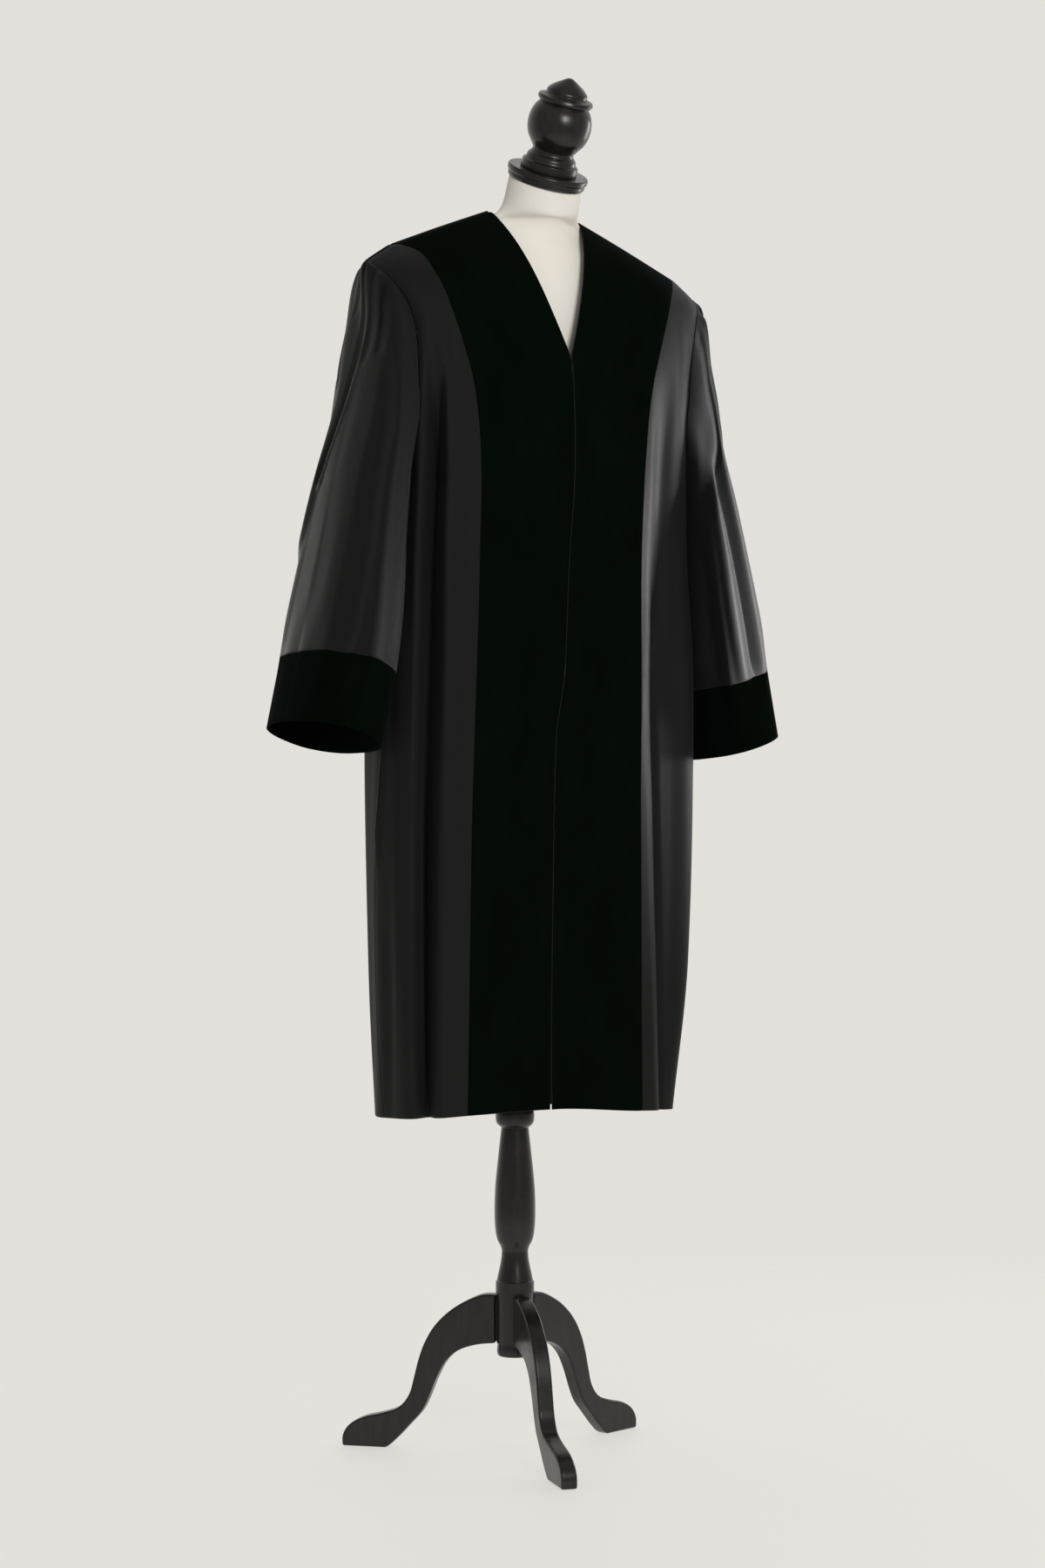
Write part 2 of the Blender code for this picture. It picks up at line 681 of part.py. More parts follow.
def yoke(name):
    """The velvet round the back of the neck, from one shoulder's seam to the other's."""
    points = []
    for rise in YOKE_ROW_SHARES:
        line = []
        for across in [-x for x in reversed(YOKE_ACROSS[1:])] + list(YOKE_ACROSS):
            x = abs(across)
            low = yoke_low_share(x) + YOKE_SEAM
            high = 1 - RIDGE_SEAM / (FAN_END - FAN_START)
            if x < NECK_HALF_WIDTH:
                high = yoke_share(x, BACK_NECK_HEIGHT, NECK_POINT_HEIGHT, NECK_HALF_WIDTH)
            level = mix(FAN_START, FAN_END, mix(low, high, rise))
            side = 1 if across > 0 else -1
            line.append(cloth(side, x / YOKE_END * yoke_end_arc(), level, behind=True))
        points.append(line)
    return sheet(name, points, VELVET, "velvet", flip=True)


def sleeve_angles():
    """Angles round a sleeve: the armhole's own points, and one between each in the pleats."""
    step = 180 / ARMHOLE_ROWS
    front = [angle for angle in armhole_angles() if angle != RIDGE_ROW * step]
    back = [360 - angle for angle in front[1:-1]]
    between = [(k + 1.5) * step for k in range(PLEATED_GAPS_FRONT)]
    between += [360 - (k + 1.5) * step for k in range(PLEATED_GAPS_BACK)]
    return sorted(front + back + between)


@lru_cache(maxsize=None)
def edge_point(side, level, behind):
    """A point on the body's armhole edge, on the back or on the front."""
    if behind:
        return back_edge(side, level)
    return cloth(side, side_edge(level, -1)[0], level)


def armhole_point(side, angle):
    """A point on the armhole's edge, straight between the body's own points."""
    behind = angle > 180
    down = 360 - angle if behind else angle
    corners = armhole_angles()
    k = min(max(int(np.searchsorted(corners, down, side="right")) - 1, 0), len(corners) - 2)
    ends = [edge_point(side, armhole_level(corner), behind) for corner in corners[k:k + 2]]
    share = (down - corners[k]) / (corners[k + 1] - corners[k])
    return ends[0].lerp(ends[1], share) + Vector((side * SLEEVE_SEAM, 0, 0))


def power(value, exponent):
    """A signed power, for a squarish round."""
    return (1 if value >= 0 else -1) * abs(value) ** exponent


def sleeve_push(side, angle, run):
    """Pleats at the head and the long folds below them: how far the cloth stands out."""
    push = 0.0
    fade = smooth(run / PLEAT_PEAK) * (1 - smooth((run - PLEAT_PEAK) / (PLEAT_END - PLEAT_PEAK)))
    from_top = (angle + 180) % 360 - 180
    for pleat in SLEEVE_PLEATS:
        offset = abs(from_top - pleat) / PLEAT_HALF_WIDTH
        if offset < 1:
            push -= PLEAT_DEPTH * fade * (0.5 + 0.5 * cos(pi * offset))
    for k in range(len(SLEEVE_FOLDS["side"])):
        fold = {name: column[k] for name, column in SLEEVE_FOLDS.items()}
        if fold["side"] != side or run < fold["start"]:
            continue
        share = (run - fold["start"]) / (fold["end"] - fold["start"])
        centre = mix(fold["high"], fold["low"], share)
        offset = (angle - centre + 180) % 360 - 180
        offset = abs(offset) / (fold["before"] if offset < 0 else fold["after"])
        if offset < 1:
            rise = smooth((run - fold["start"]) / fold["fade"])
            fall = smooth((fold["end"] - run) / fold["fade"])
            push += fold["height"] * rise * fall * (0.5 + 0.5 * cos(pi * offset))
    return push


def sleeve_point(side, angle, run):
    """A point of the sleeve or cuff: run is 0 at the armhole and 1 at the cuff's seam."""
    narrowing = SLEEVE_NARROWING[side] * smooth(run / HEAD_BLEND)
    outer_x = read(SLEEVE, "outer_x", run) - narrowing
    outer = Vector((side * outer_x, 0, read(SLEEVE, "outer_z", run)))
    inner = Vector((side * read(SLEEVE, "inner_x", run), 0, read(SLEEVE, "inner_z", run)))
    half = (outer - inner) / 2
    depth = read(SLEEVE, "half_depth", run)
    across = cos(radians(angle))
    fore = sin(radians(angle))
    exponent = 2 / SLEEVE_SQUARE
    point = (outer + inner) / 2 + half * power(across, exponent)
    point.y = read(SLEEVE, "middle", run) - depth * power(fore, exponent)
    outward = half * (across / max(half.length, 1e-6) ** 2) - Vector((0, fore / depth, 0))
    point += outward.normalized() * sleeve_push(side, angle, run)
    blend = smooth(run / HEAD_BLEND)
    if blend < 1:
        head = armhole_point(side, angle)
        shift = head - head_tube(side, angle)
        point += shift * (1 - blend)
    return point


def head_tube(side, angle):
    """The plain tube's own point at the armhole, without folds."""
    outer = Vector((side * SLEEVE["outer_x"][0], 0, SLEEVE["outer_z"][0]))
    inner = Vector((side * SLEEVE["inner_x"][0], 0, SLEEVE["inner_z"][0]))
    exponent = 2 / SLEEVE_SQUARE
    point = (outer + inner) / 2 + (outer - inner) / 2 * power(cos(radians(angle)), exponent)
    point.y = SLEEVE["middle"][0] - SLEEVE["half_depth"][0] * power(sin(radians(angle)), exponent)
    return point


def tube_points(side, runs):
    """Rings of points round the arm, one for each run."""
    return [[sleeve_point(side, angle, run) for angle in sleeve_angles()] for run in runs]


def sleeve(name, side):
    """The pleated sleeve; its rows lie closer together at the head."""
    end = CUFF_START - CUFF_SEAM
    runs = [end * (row / SLEEVE_ROWS) ** SLEEVE_ROW_LEAD for row in range(SLEEVE_ROWS + 1)]
    return sheet(name, tube_points(side, runs), WOOL, "wool", loop=True, flip=side < 0)


def cuff(name, side):
    """The velvet cuff below the sleeve."""
    runs = [mix(CUFF_START + CUFF_SEAM, CUFF_END, row / CUFF_ROWS) for row in range(CUFF_ROWS + 1)]
    return sheet(name, tube_points(side, runs), VELVET, "velvet", loop=True, flip=side < 0)


def form_torso(name):
    """The limbless form with its neck, one closed skin through its rings."""
    mesh = bmesh.new()
    loops = []
    for k in range(len(FORM_RINGS["height"])):
        row = {column: values[k] for column, values in FORM_RINGS.items()}
        lean = Matrix.Rotation(radians(row["tilt"]), 3, "X")
        loop = []
        for column in range(FORM_COLUMNS):
            turn = 2 * pi * column / FORM_COLUMNS
            exponent = 2 / row["square"]
            depth = row["front"] if cos(turn) > 0 else row["back"]
            x = row["half_width"] * power(sin(turn), exponent)
            y = -depth * power(cos(turn), exponent)
            if cos(turn) > 0:
                y -= row["throat"] * (1 - smooth(abs(x) / THROAT_HALF_WIDTH))
            offset = Vector((x, y, 0))
            loop.append(mesh.verts.new(Vector((0, row["middle"], row["height"])) + lean @ offset))
        loops.append(loop)
    for low, high in zip(loops, loops[1:]):
        for k in range(FORM_COLUMNS):
            n = (k + 1) % FORM_COLUMNS
            mesh.faces.new((low[k], low[n], high[n], high[k]))
    mesh.faces.new(loops[0][::-1])
    mesh.faces.new(loops[-1])
    piece = add_object(name, mesh, "form_cloth")
    piece.data.shade_smooth()
    return piece


def turned(name, profile, finish, place=(0, 0, 0), tilt=0.0):
    """A turned piece: its profile spun round by a Screw modifier."""
    mesh = bmesh.new()
    outline = [(0.0, profile["height"][0])]
    outline += list(zip(profile["radius"], profile["height"]))
    outline.append((0.0, profile["height"][-1]))
    points = [mesh.verts.new((radius, 0, height)) for radius, height in outline]
    for first, second in zip(points, points[1:]):
        mesh.edges.new((first, second))
    piece = add_object(name, mesh, finish)
    screw = piece.modifiers.new("turning", "SCREW")
    screw.steps = TURNED_STEPS
    screw.render_steps = TURNED_STEPS
    screw.use_merge_vertices = True
    screw.merge_threshold = 0.00005
    piece.location = place
    piece.rotation_euler = (tilt, 0, 0)
    return piece


def leg(name, direction):
    """One sawn leg board, its outline stood on edge and turned to its direction."""
    outline = bpy.data.curves.new(name, "CURVE")
    outline.dimensions = "2D"
    outline.fill_mode = "BOTH"
    outline.extrude = LEG_THICKNESS / 2
    spline = outline.splines.new("POLY")
    spline.points.add(len(LEG_OUTLINE) - 1)
    for point, (reach, height) in zip(spline.points, LEG_OUTLINE):
        point.co = (reach, height, 0, 1)
    spline.use_cyclic_u = True
    piece = bpy.data.objects.new(name, outline)
    collection.objects.link(piece)
    piece.rotation_euler = (radians(90), 0, radians(direction))
    dress(piece, "lacquer")
    return piece


def centre_on_floor():
    """Move the root so that the floor under the middle of the whole is the origin."""
    bpy.context.view_layer.update()
    graph = bpy.context.evaluated_depsgraph_get()
    corners = []
    for piece in collection.objects:
        if piece.type == "EMPTY":
            continue
        shape = piece.evaluated_get(graph)
        data = shape.to_mesh()
        corners += [piece.matrix_world @ vertex.co for vertex in data.vertices]
        shape.to_mesh_clear()
    low = [min(corner[axis] for corner in corners) for axis in range(3)]
    high = [max(corner[axis] for corner in corners) for axis in range(3)]
    root.location = (-(low[0] + high[0]) / 2, -(low[1] + high[1]) / 2, -low[2])
    bpy.context.view_layer.update()


for old in list(bpy.data.objects):
    bpy.data.objects.remove(old, do_unlink=True)
collection = bpy.data.collections.new("prosecutor_robe_on_dress_form")
bpy.context.scene.collection.children.link(collection)
root = bpy.data.objects.new("root", None)
collection.objects.link(root)

for suffix, side in (("right", -1), ("left", 1)):
    velvet_front("velvet_front_" + suffix, side)
    wool_front("front_" + suffix, side)
    sleeve("sleeve_" + suffix, side)
    cuff("cuff_" + suffix, side)
wool_back("back")
yoke("velvet_yoke_back")
form_torso("form_torso")
turned("neck_plate", NECK_PLATE, "lacquer", PLATE_CENTRE, FINIAL_TILT)
turned("finial", FINIAL, "lacquer", PLATE_CENTRE, FINIAL_TILT)
turned("column", COLUMN, "lacquer")
for leg_name, direction in LEG_DIRECTIONS.items():
    leg(leg_name, direction)
centre_on_floor()
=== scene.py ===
"""Looks of a prosecutor robe on a limbless dress form with a turned tripod stand.

The cloth repeats the solids' own rings and tables, read far more finely, and adds the creases,
the piled velvet, the fine wool and the lacquer. Metres, +Z up, the front faces -Y.
"""
from math import cos, pi, radians, sin

import bpy
import numpy as np
from mathutils import Matrix, Vector


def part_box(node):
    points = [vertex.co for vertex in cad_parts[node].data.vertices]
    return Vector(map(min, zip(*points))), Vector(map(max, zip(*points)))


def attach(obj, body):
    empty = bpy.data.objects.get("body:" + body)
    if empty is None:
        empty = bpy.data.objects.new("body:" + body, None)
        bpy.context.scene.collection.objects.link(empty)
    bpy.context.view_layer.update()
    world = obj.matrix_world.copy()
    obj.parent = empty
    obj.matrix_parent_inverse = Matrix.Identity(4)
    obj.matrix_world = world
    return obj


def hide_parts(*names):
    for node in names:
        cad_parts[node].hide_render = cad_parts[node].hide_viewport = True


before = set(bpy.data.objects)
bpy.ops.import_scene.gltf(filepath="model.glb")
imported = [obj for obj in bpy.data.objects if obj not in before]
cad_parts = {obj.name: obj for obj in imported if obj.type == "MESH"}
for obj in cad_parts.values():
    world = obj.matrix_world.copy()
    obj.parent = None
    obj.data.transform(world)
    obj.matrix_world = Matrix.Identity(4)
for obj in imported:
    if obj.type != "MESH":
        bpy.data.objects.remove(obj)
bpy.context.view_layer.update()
column_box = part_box("column")
AXIS = Vector(((column_box[0][0] + column_box[1][0]) / 2, (column_box[0][1] + column_box[1][1]) / 2, 0))

# Heights and widths of the robe
HEM = 0.4365
HEM_DROP = 0.0085
HEM_DROP_ARC = 0.3
HEM_DROP_TOP = 0.75
HEM_DROP_FADE = 0.3
LEFT_DROP = 0.0045
LEFT_DROP_END = 0.42
LEFT_DROP_FADE = 0.12
ARMPIT = 1.190
FAN_START = 1.347
FAN_END = 1.477
NECK_HALF_WIDTH = 0.064
NECK_POINT_HEIGHT = 1.537
SHOULDER_SLOPE = 0.433
SHOULDER_TIP_X = 0.199
SHOULDER_TIP_SLOPE = 0.25
RIDGE_ROUNDING = 0.012
V_EDGE_CURVE = 0.93
CLOSING_START = (1.20, 1.30)
CLOSING_POWER = (3.0, 3.8)
CLOSING_OUTER_X = 0.15
BACK_NECK_HEIGHT = 1.506
YOKE_MIDDLE_HEIGHT = 1.425
YOKE_END = 0.1985
YOKE_END_HEIGHT = 1.4765

# Cloth
WOOL = 0.0016
VELVET = 0.0020
SEAM = 0.00012
RIDGE_SEAM = 0.0002
YOKE_SEAM = 0.0018
SLEEVE_SEAM = 0.0009
CUFF_SEAM = 0.0012
CLOSURE_DRIFT = 0.0095
DRIFT_TOP = 0.98
DRIFT_FADE = 0.10
TOP_OPENING = 0.0006
TOP_OPENING_LEVEL = 1.300
FOOT_OPENING = 0.0012
FOOT_OPENING_LEVEL = 0.475
OPENING_FADE = 0.03
CLOSING_WAVE = 0.0006
CLOSING_WAVE_PLACE = 0.80
CLOSING_WAVE_REACH = 0.11
CLOSING_WAVE_TURNS = 210
CLOSING_RISE = 0.0010
CLOSING_ROLL = 0.009
SLIT_OPENING = 0.0009
SLIT_TOP = 0.88
SLIT_FOOT = 0.73
ARMHOLE_HALF = 0.071
ARMHOLE_ROUNDING = 0.100

# The unevenness of hanging cloth, on the body and on the sleeve's own round and fall
WAVER_HEAD = 0.1
SLEEVE_ROUND = 0.6
SLEEVE_HEAD_LEVEL = 1.45
SLEEVE_FALL = 0.45
SLEEVE_WAVER_RUN = 0.2

# Fineness of the pieces
BODY_ROWS = 180
ARMHOLE_ROWS = 74
VELVET_COLUMNS = 34
FRONT_COLUMNS = 100
BACK_COLUMNS = 60
YOKE_COLUMNS = 44
YOKE_ROWS = 26
SLEEVE_ROWS = 120
SLEEVE_COLUMNS = 240
CUFF_ROWS = 22
FORM_COLUMNS = 28
TURNED_STEPS = 72
TURNED_STEPS_BETWEEN = 5
VELVET_CROWDING = 1.5
HEAD_CROWDING = 1.25
EDGE_ROUNDING = 0.35
TANGENT_STEP = 0.002
SETTLING_ROUNDS = 6
SEARCH_ROUNDS = 40
SEARCH_SETTLING = 4
SEARCH_MARGIN = 0.02
YOKE_SEARCH = (0.15, 0.24, 200)
SHARP_ANGLE = 40


def table(header, *rows):
    """A small table: each name in the header stands for one column of the rows."""
    return {name: np.array(column, float) for name, column in zip(header.split(), zip(*rows))}


def rows_of(named_table):
    """A table's rows, each with its values by name."""
    return [dict(zip(named_table, values)) for values in zip(*named_table.values())]


# The garment's ring by height: front and back are depths from the middle line
RINGS = table(
    "height half_width middle front back square bulge",
    (0.42, 0.193, -0.035, 0.07, 0.088, 4, 0),
    (0.6, 0.202, -0.035, 0.072, 0.088, 4, 0),
    (0.83, 0.209, -0.035, 0.076, 0.086, 4, 0.002),
    (0.98, 0.2055, -0.035, 0.082, 0.086, 4.2, 0.006),
    (1.12, 0.194, -0.0355, 0.086, 0.088, 4.6, 0.012),
    (1.19, 0.193, -0.0365, 0.09, 0.092, 5, 0.017),
    (1.3, 0.199, -0.04, 0.088, 0.099, 5, 0.017),
    (1.4, 0.213, -0.043, 0.086, 0.102, 5, 0.013),
    (1.455, 0.24, -0.045, 0.086, 0.105, 5, 0.011),
    (1.56, 0.25, -0.045, 0.086, 0.12, 5, 0.011),
)

# The velvet's outer edge on the wearer's right and left, as an arc length from the front's middle
VELVET_EDGE = table(
    "level right left",
    (0.43, 0.124, 0.124),
    (0.73, 0.1215, 0.119),
    (0.95, 0.1185, 0.114),
    (1.1, 0.1165, 0.111),
    (1.2, 0.118, 0.111),
    (1.25, 0.1205, 0.1145),
    (1.31, 0.129, 0.1215),
    (1.347, 0.1405, 0.13),
    (1.38, 0.153, 0.142),
    (1.405, 0.1615, 0.153),
    (1.428, 0.169, 0.165),
    (1.46, 0.18, 0.188),
    (1.477, 0.197, 0.201),
)
FLAT_FRONT = 0.124

# Where the side seam runs, front to back
SIDE_SEAM = table(
    "level depth_place",
    (0.43, -0.03),
    (0.56, -0.025),
    (0.7, -0.032),
    (0.83, -0.05),
    (0.95, -0.052),
    (1.19, -0.035),
)

# Folds of the two fronts, the solids' own and then the finer creases: side is -1 on the wearer's
# right, start and end are levels, and first and last the fold's arcs there from the front's middle
FRONT_FOLDS = table(
    "side start rise end fall first last before after height",
    (-1, 0.36, 0.16, 1.345, 0.16, 0.1715, 0.1705, 0.01, 0.028, -0.023),
    (-1, 0.2, 0.01, 1.33, 0.3, 0.156, 0.157, 0.026, 0.007, 0.003),
    (-1, 0.98, 0.1, 1.4, 0.12, 0.188, 0.192, 0.012, 0.018, 0.006),
    (-1, 0.2, 0.01, 1.02, 0.25, 0.256, 0.248, 0.03, 0.034, 0.005),
    (1, 0.2, 0.01, 1.01, 0.2, 0.179, 0.1385, 0.024, 0.05, -0.011),
    (1, 0.8, 0.2, 1.37, 0.16, 0.142, 0.146, 0.026, 0.044, -0.012),
    (1, 0.4, 0.22, 1.3, 0.26, 0.208, 0.194, 0.03, 0.04, 0.009),
    (1, 0.2, 0.01, 0.96, 0.2, 0.272, 0.264, 0.034, 0.036, 0.005),
    (-1, 0.98, 0.12, 1.33, 0.16, 0.19, 0.172, 0.01, 0.014, -0.003),
    (-1, 0.5, 0.3, 1.18, 0.3, 0.226, 0.216, 0.016, 0.02, 0.0016),
    (-1, 0.42, 0.1, 0.8, 0.2, 0.232, 0.225, 0.014, 0.016, -0.0014),
    (-1, 1.24, 0.06, 1.44, 0.08, 0.162, 0.17, 0.012, 0.014, 0.0014),
    (1, 0.9, 0.2, 1.38, 0.14, 0.156, 0.164, 0.014, 0.018, 0.0018),
    (1, 0.42, 0.05, 0.9, 0.3, 0.22, 0.214, 0.016, 0.02, 0.0018),
    (1, 0.6, 0.2, 1.16, 0.2, 0.238, 0.23, 0.012, 0.018, -0.0016),
    (1, 1.2, 0.08, 1.44, 0.1, 0.18, 0.174, 0.012, 0.012, 0.0012),
    (-1, 0.4, 0.14, 1.33, 0.16, 0.1705, 0.1695, 0.007, 0.02, -0.015),
    (-1, 0.2, 0.02, 0.9, 0.16, 0.1715, 0.1705, 0.007, 0.022, -0.008),
    (-1, 0.715, 0.04, 0.89, 0.05, 0.252, 0.2398, 0.012, 0.0015, 0.003),
    (1, 0.715, 0.04, 0.89, 0.05, 0.252, 0.2398, 0.012, 0.0015, 0.0024),
    (1, 0.2, 0.01, 1.12, 0.2, 0.1755, 0.1305, 0.0036, 0.014, -0.006),
    (1, 0.2, 0.01, 1.12, 0.2, 0.1685, 0.1235, 0.012, 0.0045, 0.0016),
)

# Folds and creases of the back: arcs from the back's middle
BACK_FOLDS = table(
    "side start rise end fall first last before after height",
    (-1, 0.2, 0.01, 1.4, 0.5, 0.048, 0.034, 0.042, 0.046, 0.011),
    (1, 0.2, 0.01, 1.38, 0.46, 0.056, 0.04, 0.04, 0.044, 0.012),
    (-1, 0.2, 0.01, 1.34, 0.44, 0.142, 0.106, 0.044, 0.046, 0.013),
    (1, 0.2, 0.01, 1.36, 0.52, 0.148, 0.112, 0.046, 0.04, 0.011),
    (-1, 0.2, 0.01, 1.25, 0.5, 0.096, 0.076, 0.034, 0.036, -0.009),
    (1, 0.2, 0.01, 1.28, 0.46, 0.102, 0.078, 0.036, 0.036, -0.01),
    (-1, 0.42, 0.1, 1.05, 0.4, 0.02, 0.016, 0.016, 0.018, 0.0024),
    (1, 0.42, 0.1, 0.94, 0.36, 0.03, 0.024, 0.014, 0.018, -0.0022),
    (-1, 0.7, 0.3, 1.4, 0.3, 0.07, 0.056, 0.016, 0.02, 0.0022),
    (1, 0.76, 0.3, 1.42, 0.26, 0.076, 0.066, 0.018, 0.02, 0.0018),
    (-1, 0.42, 0.1, 0.9, 0.34, 0.172, 0.16, 0.018, 0.02, -0.0026),
    (1, 0.42, 0.1, 1, 0.4, 0.18, 0.168, 0.016, 0.022, 0.0028),
    (-1, 1.06, 0.12, 1.4, 0.14, 0.16, 0.176, 0.014, 0.018, 0.003),
    (1, 1.08, 0.12, 1.39, 0.14, 0.162, 0.174, 0.016, 0.016, 0.0026),
    (-1, 1.18, 0.08, 1.43, 0.1, 0.138, 0.164, 0.012, 0.014, -0.0018),
    (1, 1.16, 0.08, 1.44, 0.1, 0.142, 0.162, 0.012, 0.012, -0.0016),
)

# The sleeve's rings: the outer and inner lines of the tube, seen from the front, and its depth
SLEEVE = table(
    "run outer_x outer_z inner_x inner_z middle half_depth",
    (0, 0.2265, 1.4545, 0.1935, 1.19, -0.035, 0.082),
    (0.03, 0.2325, 1.449, 0.196, 1.182, -0.036, 0.089),
    (0.1, 0.2345, 1.395, 0.1995, 1.164, -0.038, 0.091),
    (0.25, 0.245, 1.305, 0.2025, 1.135, -0.04, 0.094),
    (0.45, 0.2685, 1.205, 0.205, 1.1, -0.04, 0.1),
    (0.65, 0.2885, 1.11, 0.2075, 1.052, -0.04, 0.108),
    (0.85, 0.304, 1.04, 0.212, 0.998, -0.04, 0.112),
    (1, 0.312, 1.001, 0.216, 0.967, -0.04, 0.112),
    (1.36, 0.334, 0.903, 0.234, 0.867, -0.04, 0.11),
)
SLEEVE_SQUARE = 2.3
SLEEVE_NARROWING = {-1: 0.0, 1: 0.010}
CUFF_START = 1.06
CUFF_END = 1.36
HEAD_BLEND = 0.16

# Folds, creases and the tucks of the head: start and end are runs, and first and last the angles
# there, which go from the outer line over the front of the arm; a tuck has one steep side
SLEEVE_FOLDS = table(
    "side start end first last before after height fade",
    (-1, 0.08, 1.16, 52, 44, 20, 20, -0.01, 0.2),
    (-1, 0.1, 1.2, 72, 86, 18, 16, 0.006, 0.2),
    (-1, 0.04, 0.7, -12, -48, 12, 15, 0.008, 0.1),
    (-1, 0.12, 1.12, 108, 112, 20, 20, -0.008, 0.2),
    (-1, 0.2, 1.14, 222, 226, 26, 26, -0.008, 0.25),
    (1, 0.08, 1.2, 112, 104, 14, 14, 0.007, 0.18),
    (1, 0.1, 1.14, 96, 93, 13, 13, -0.009, 0.18),
    (1, 0.12, 1.2, 80, 82, 14, 14, 0.006, 0.2),
    (1, 0.12, 1.14, 146, 142, 20, 22, -0.008, 0.22),
    (1, 0.1, 1.3, 124, 120, 26, 20, 0.008, 0.22),
    (1, 0.2, 1.14, 232, 228, 26, 26, -0.008, 0.25),
    (-1, 0.16, 0.8, -24, -58, 4, 12, -0.004, 0.12),
    (-1, 0.6, 1.3, 66, 68, 12, 12, -0.001, 0.25),
    (-1, 0.4, 1.2, 330, 324, 10, 12, 0.0026, 0.3),
    (-1, 0.16, 0.9, 300, 296, 9, 12, -0.0028, 0.22),
    (-1, 0.3, 1.1, 262, 258, 10, 10, 0.0026, 0.25),
    (1, 0.2, 1.1, 56, 52, 9, 12, 0.0022, 0.3),
    (1, 0.4, 1.25, 30, 28, 9, 9, -0.0018, 0.25),
    (1, 0.2, 0.9, 4, 0, 9, 12, 0.002, 0.25),
    (1, 0.3, 1.2, 334, 330, 10, 10, -0.0024, 0.3),
    (1, 0.16, 1, 304, 298, 9, 12, 0.0028, 0.22),
    (1, 0.3, 1.1, 266, 262, 10, 12, -0.0026, 0.25),
    (-1, 0, 0.19, 45, 24, 4, 14, -0.0085, 0.045),
    (-1, 0, 0.22, 32, 2, 4, 11, -0.007, 0.045),
    (-1, 0, 0.48, 14, -29, 3, 9, -0.008, 0.028),
    (-1, 0, 0.12, 2, -14, 3, 8, -0.006, 0.024),
    (-1, 0, 0.22, -16, -40, 4, 11, -0.005, 0.028),
    (-1, 0, 0.2, -44, -58, 5, 14, -0.005, 0.03),
    (-1, 0, 0.5, 20, -24, 4, 4, 0.0032, 0.03),
    (1, 0, 0.24, 60, 90, 6, 14, -0.005, 0.03),
    (1, 0, 0.2, 30, 56, 4, 14, -0.007, 0.028),
    (1, 0, 0.24, 14, 30, 4, 12, -0.0046, 0.032),
    (1, 0, 0.18, -4, 4, 4, 12, -0.004, 0.03),
    (1, 0, 0.22, -22, -26, 4, 12, -0.0046, 0.03),
    (1, 0, 0.16, -38, -48, 5, 14, -0.004, 0.03),
    (1, 0, 0.24, 46, 74, 8, 6, 0.003, 0.035),
)

# The dress form's rings, tilted forward at the neck
FORM_RINGS = table(
    "height middle half_width front back throat square tilt",
    (0.79, -0.035, 0.115, 0.05, 0.05, 0, 2.2, 0),
    (0.796, -0.035, 0.127, 0.058, 0.06, 0, 2.3, 0),
    (0.81, -0.035, 0.132, 0.062, 0.066, 0, 2.4, 0),
    (0.88, -0.035, 0.136, 0.064, 0.069, 0, 2.4, 0),
    (1.02, -0.035, 0.124, 0.064, 0.064, 0, 2.3, 0),
    (1.15, -0.035, 0.14, 0.074, 0.072, 0, 2.4, 0),
    (1.26, -0.036, 0.158, 0.077, 0.079, 0, 2.6, 0),
    (1.35, -0.038, 0.168, 0.073, 0.08, 0, 2.8, 0),
    (1.4, -0.041, 0.172, 0.064, 0.074, 0.002, 2.8, 0),
    (1.44, -0.043, 0.172, 0.052, 0.06, 0.004, 2.5, 0),
    (1.465, -0.045, 0.169, 0.041, 0.048, 0.006, 2.2, 0),
    (1.48, -0.045, 0.164, 0.034, 0.04, 0.009, 2, 0),
    (1.49, -0.045, 0.15, 0.026, 0.029, 0.014, 2, 0),
    (1.5, -0.045, 0.126, 0.021, 0.023, 0.022, 2, 0),
    (1.51, -0.045, 0.102, 0.015, 0.018, 0.03, 2, 0),
    (1.522, -0.047, 0.0655, 0.0122, 0.015, 0.038, 2, 0),
    (1.534, -0.061, 0.0498, 0.038, 0.034, 0.004, 2, 18),
    (1.55, -0.068, 0.048, 0.042, 0.042, 0, 2, 28),
    (1.5688, -0.0758, 0.0465, 0.044, 0.044, 0, 2, 28),
)
THROAT_HALF_WIDTH = 0.055

# The turned column, from its top down its outer side
COLUMN = table(
    "height radius",
    (0.7897, 0.015),
    (0.443, 0.015),
    (0.4385, 0.0195),
    (0.429, 0.0232),
    (0.419, 0.0243),
    (0.411, 0.0228),
    (0.4055, 0.017),
    (0.372, 0.0207),
    (0.334, 0.0245),
    (0.301, 0.0256),
    (0.279, 0.0246),
    (0.266, 0.0222),
    (0.256, 0.0174),
    (0.251, 0.0165),
    (0.2147, 0.0226),
    (0.214, 0.024),
    (0.2, 0.024),
    (0.1993, 0.0228),
    (0.137, 0.0228),
    (0.1365, 0.0217),
    (0.123, 0.0217),
    (0.121, 0.02),
)

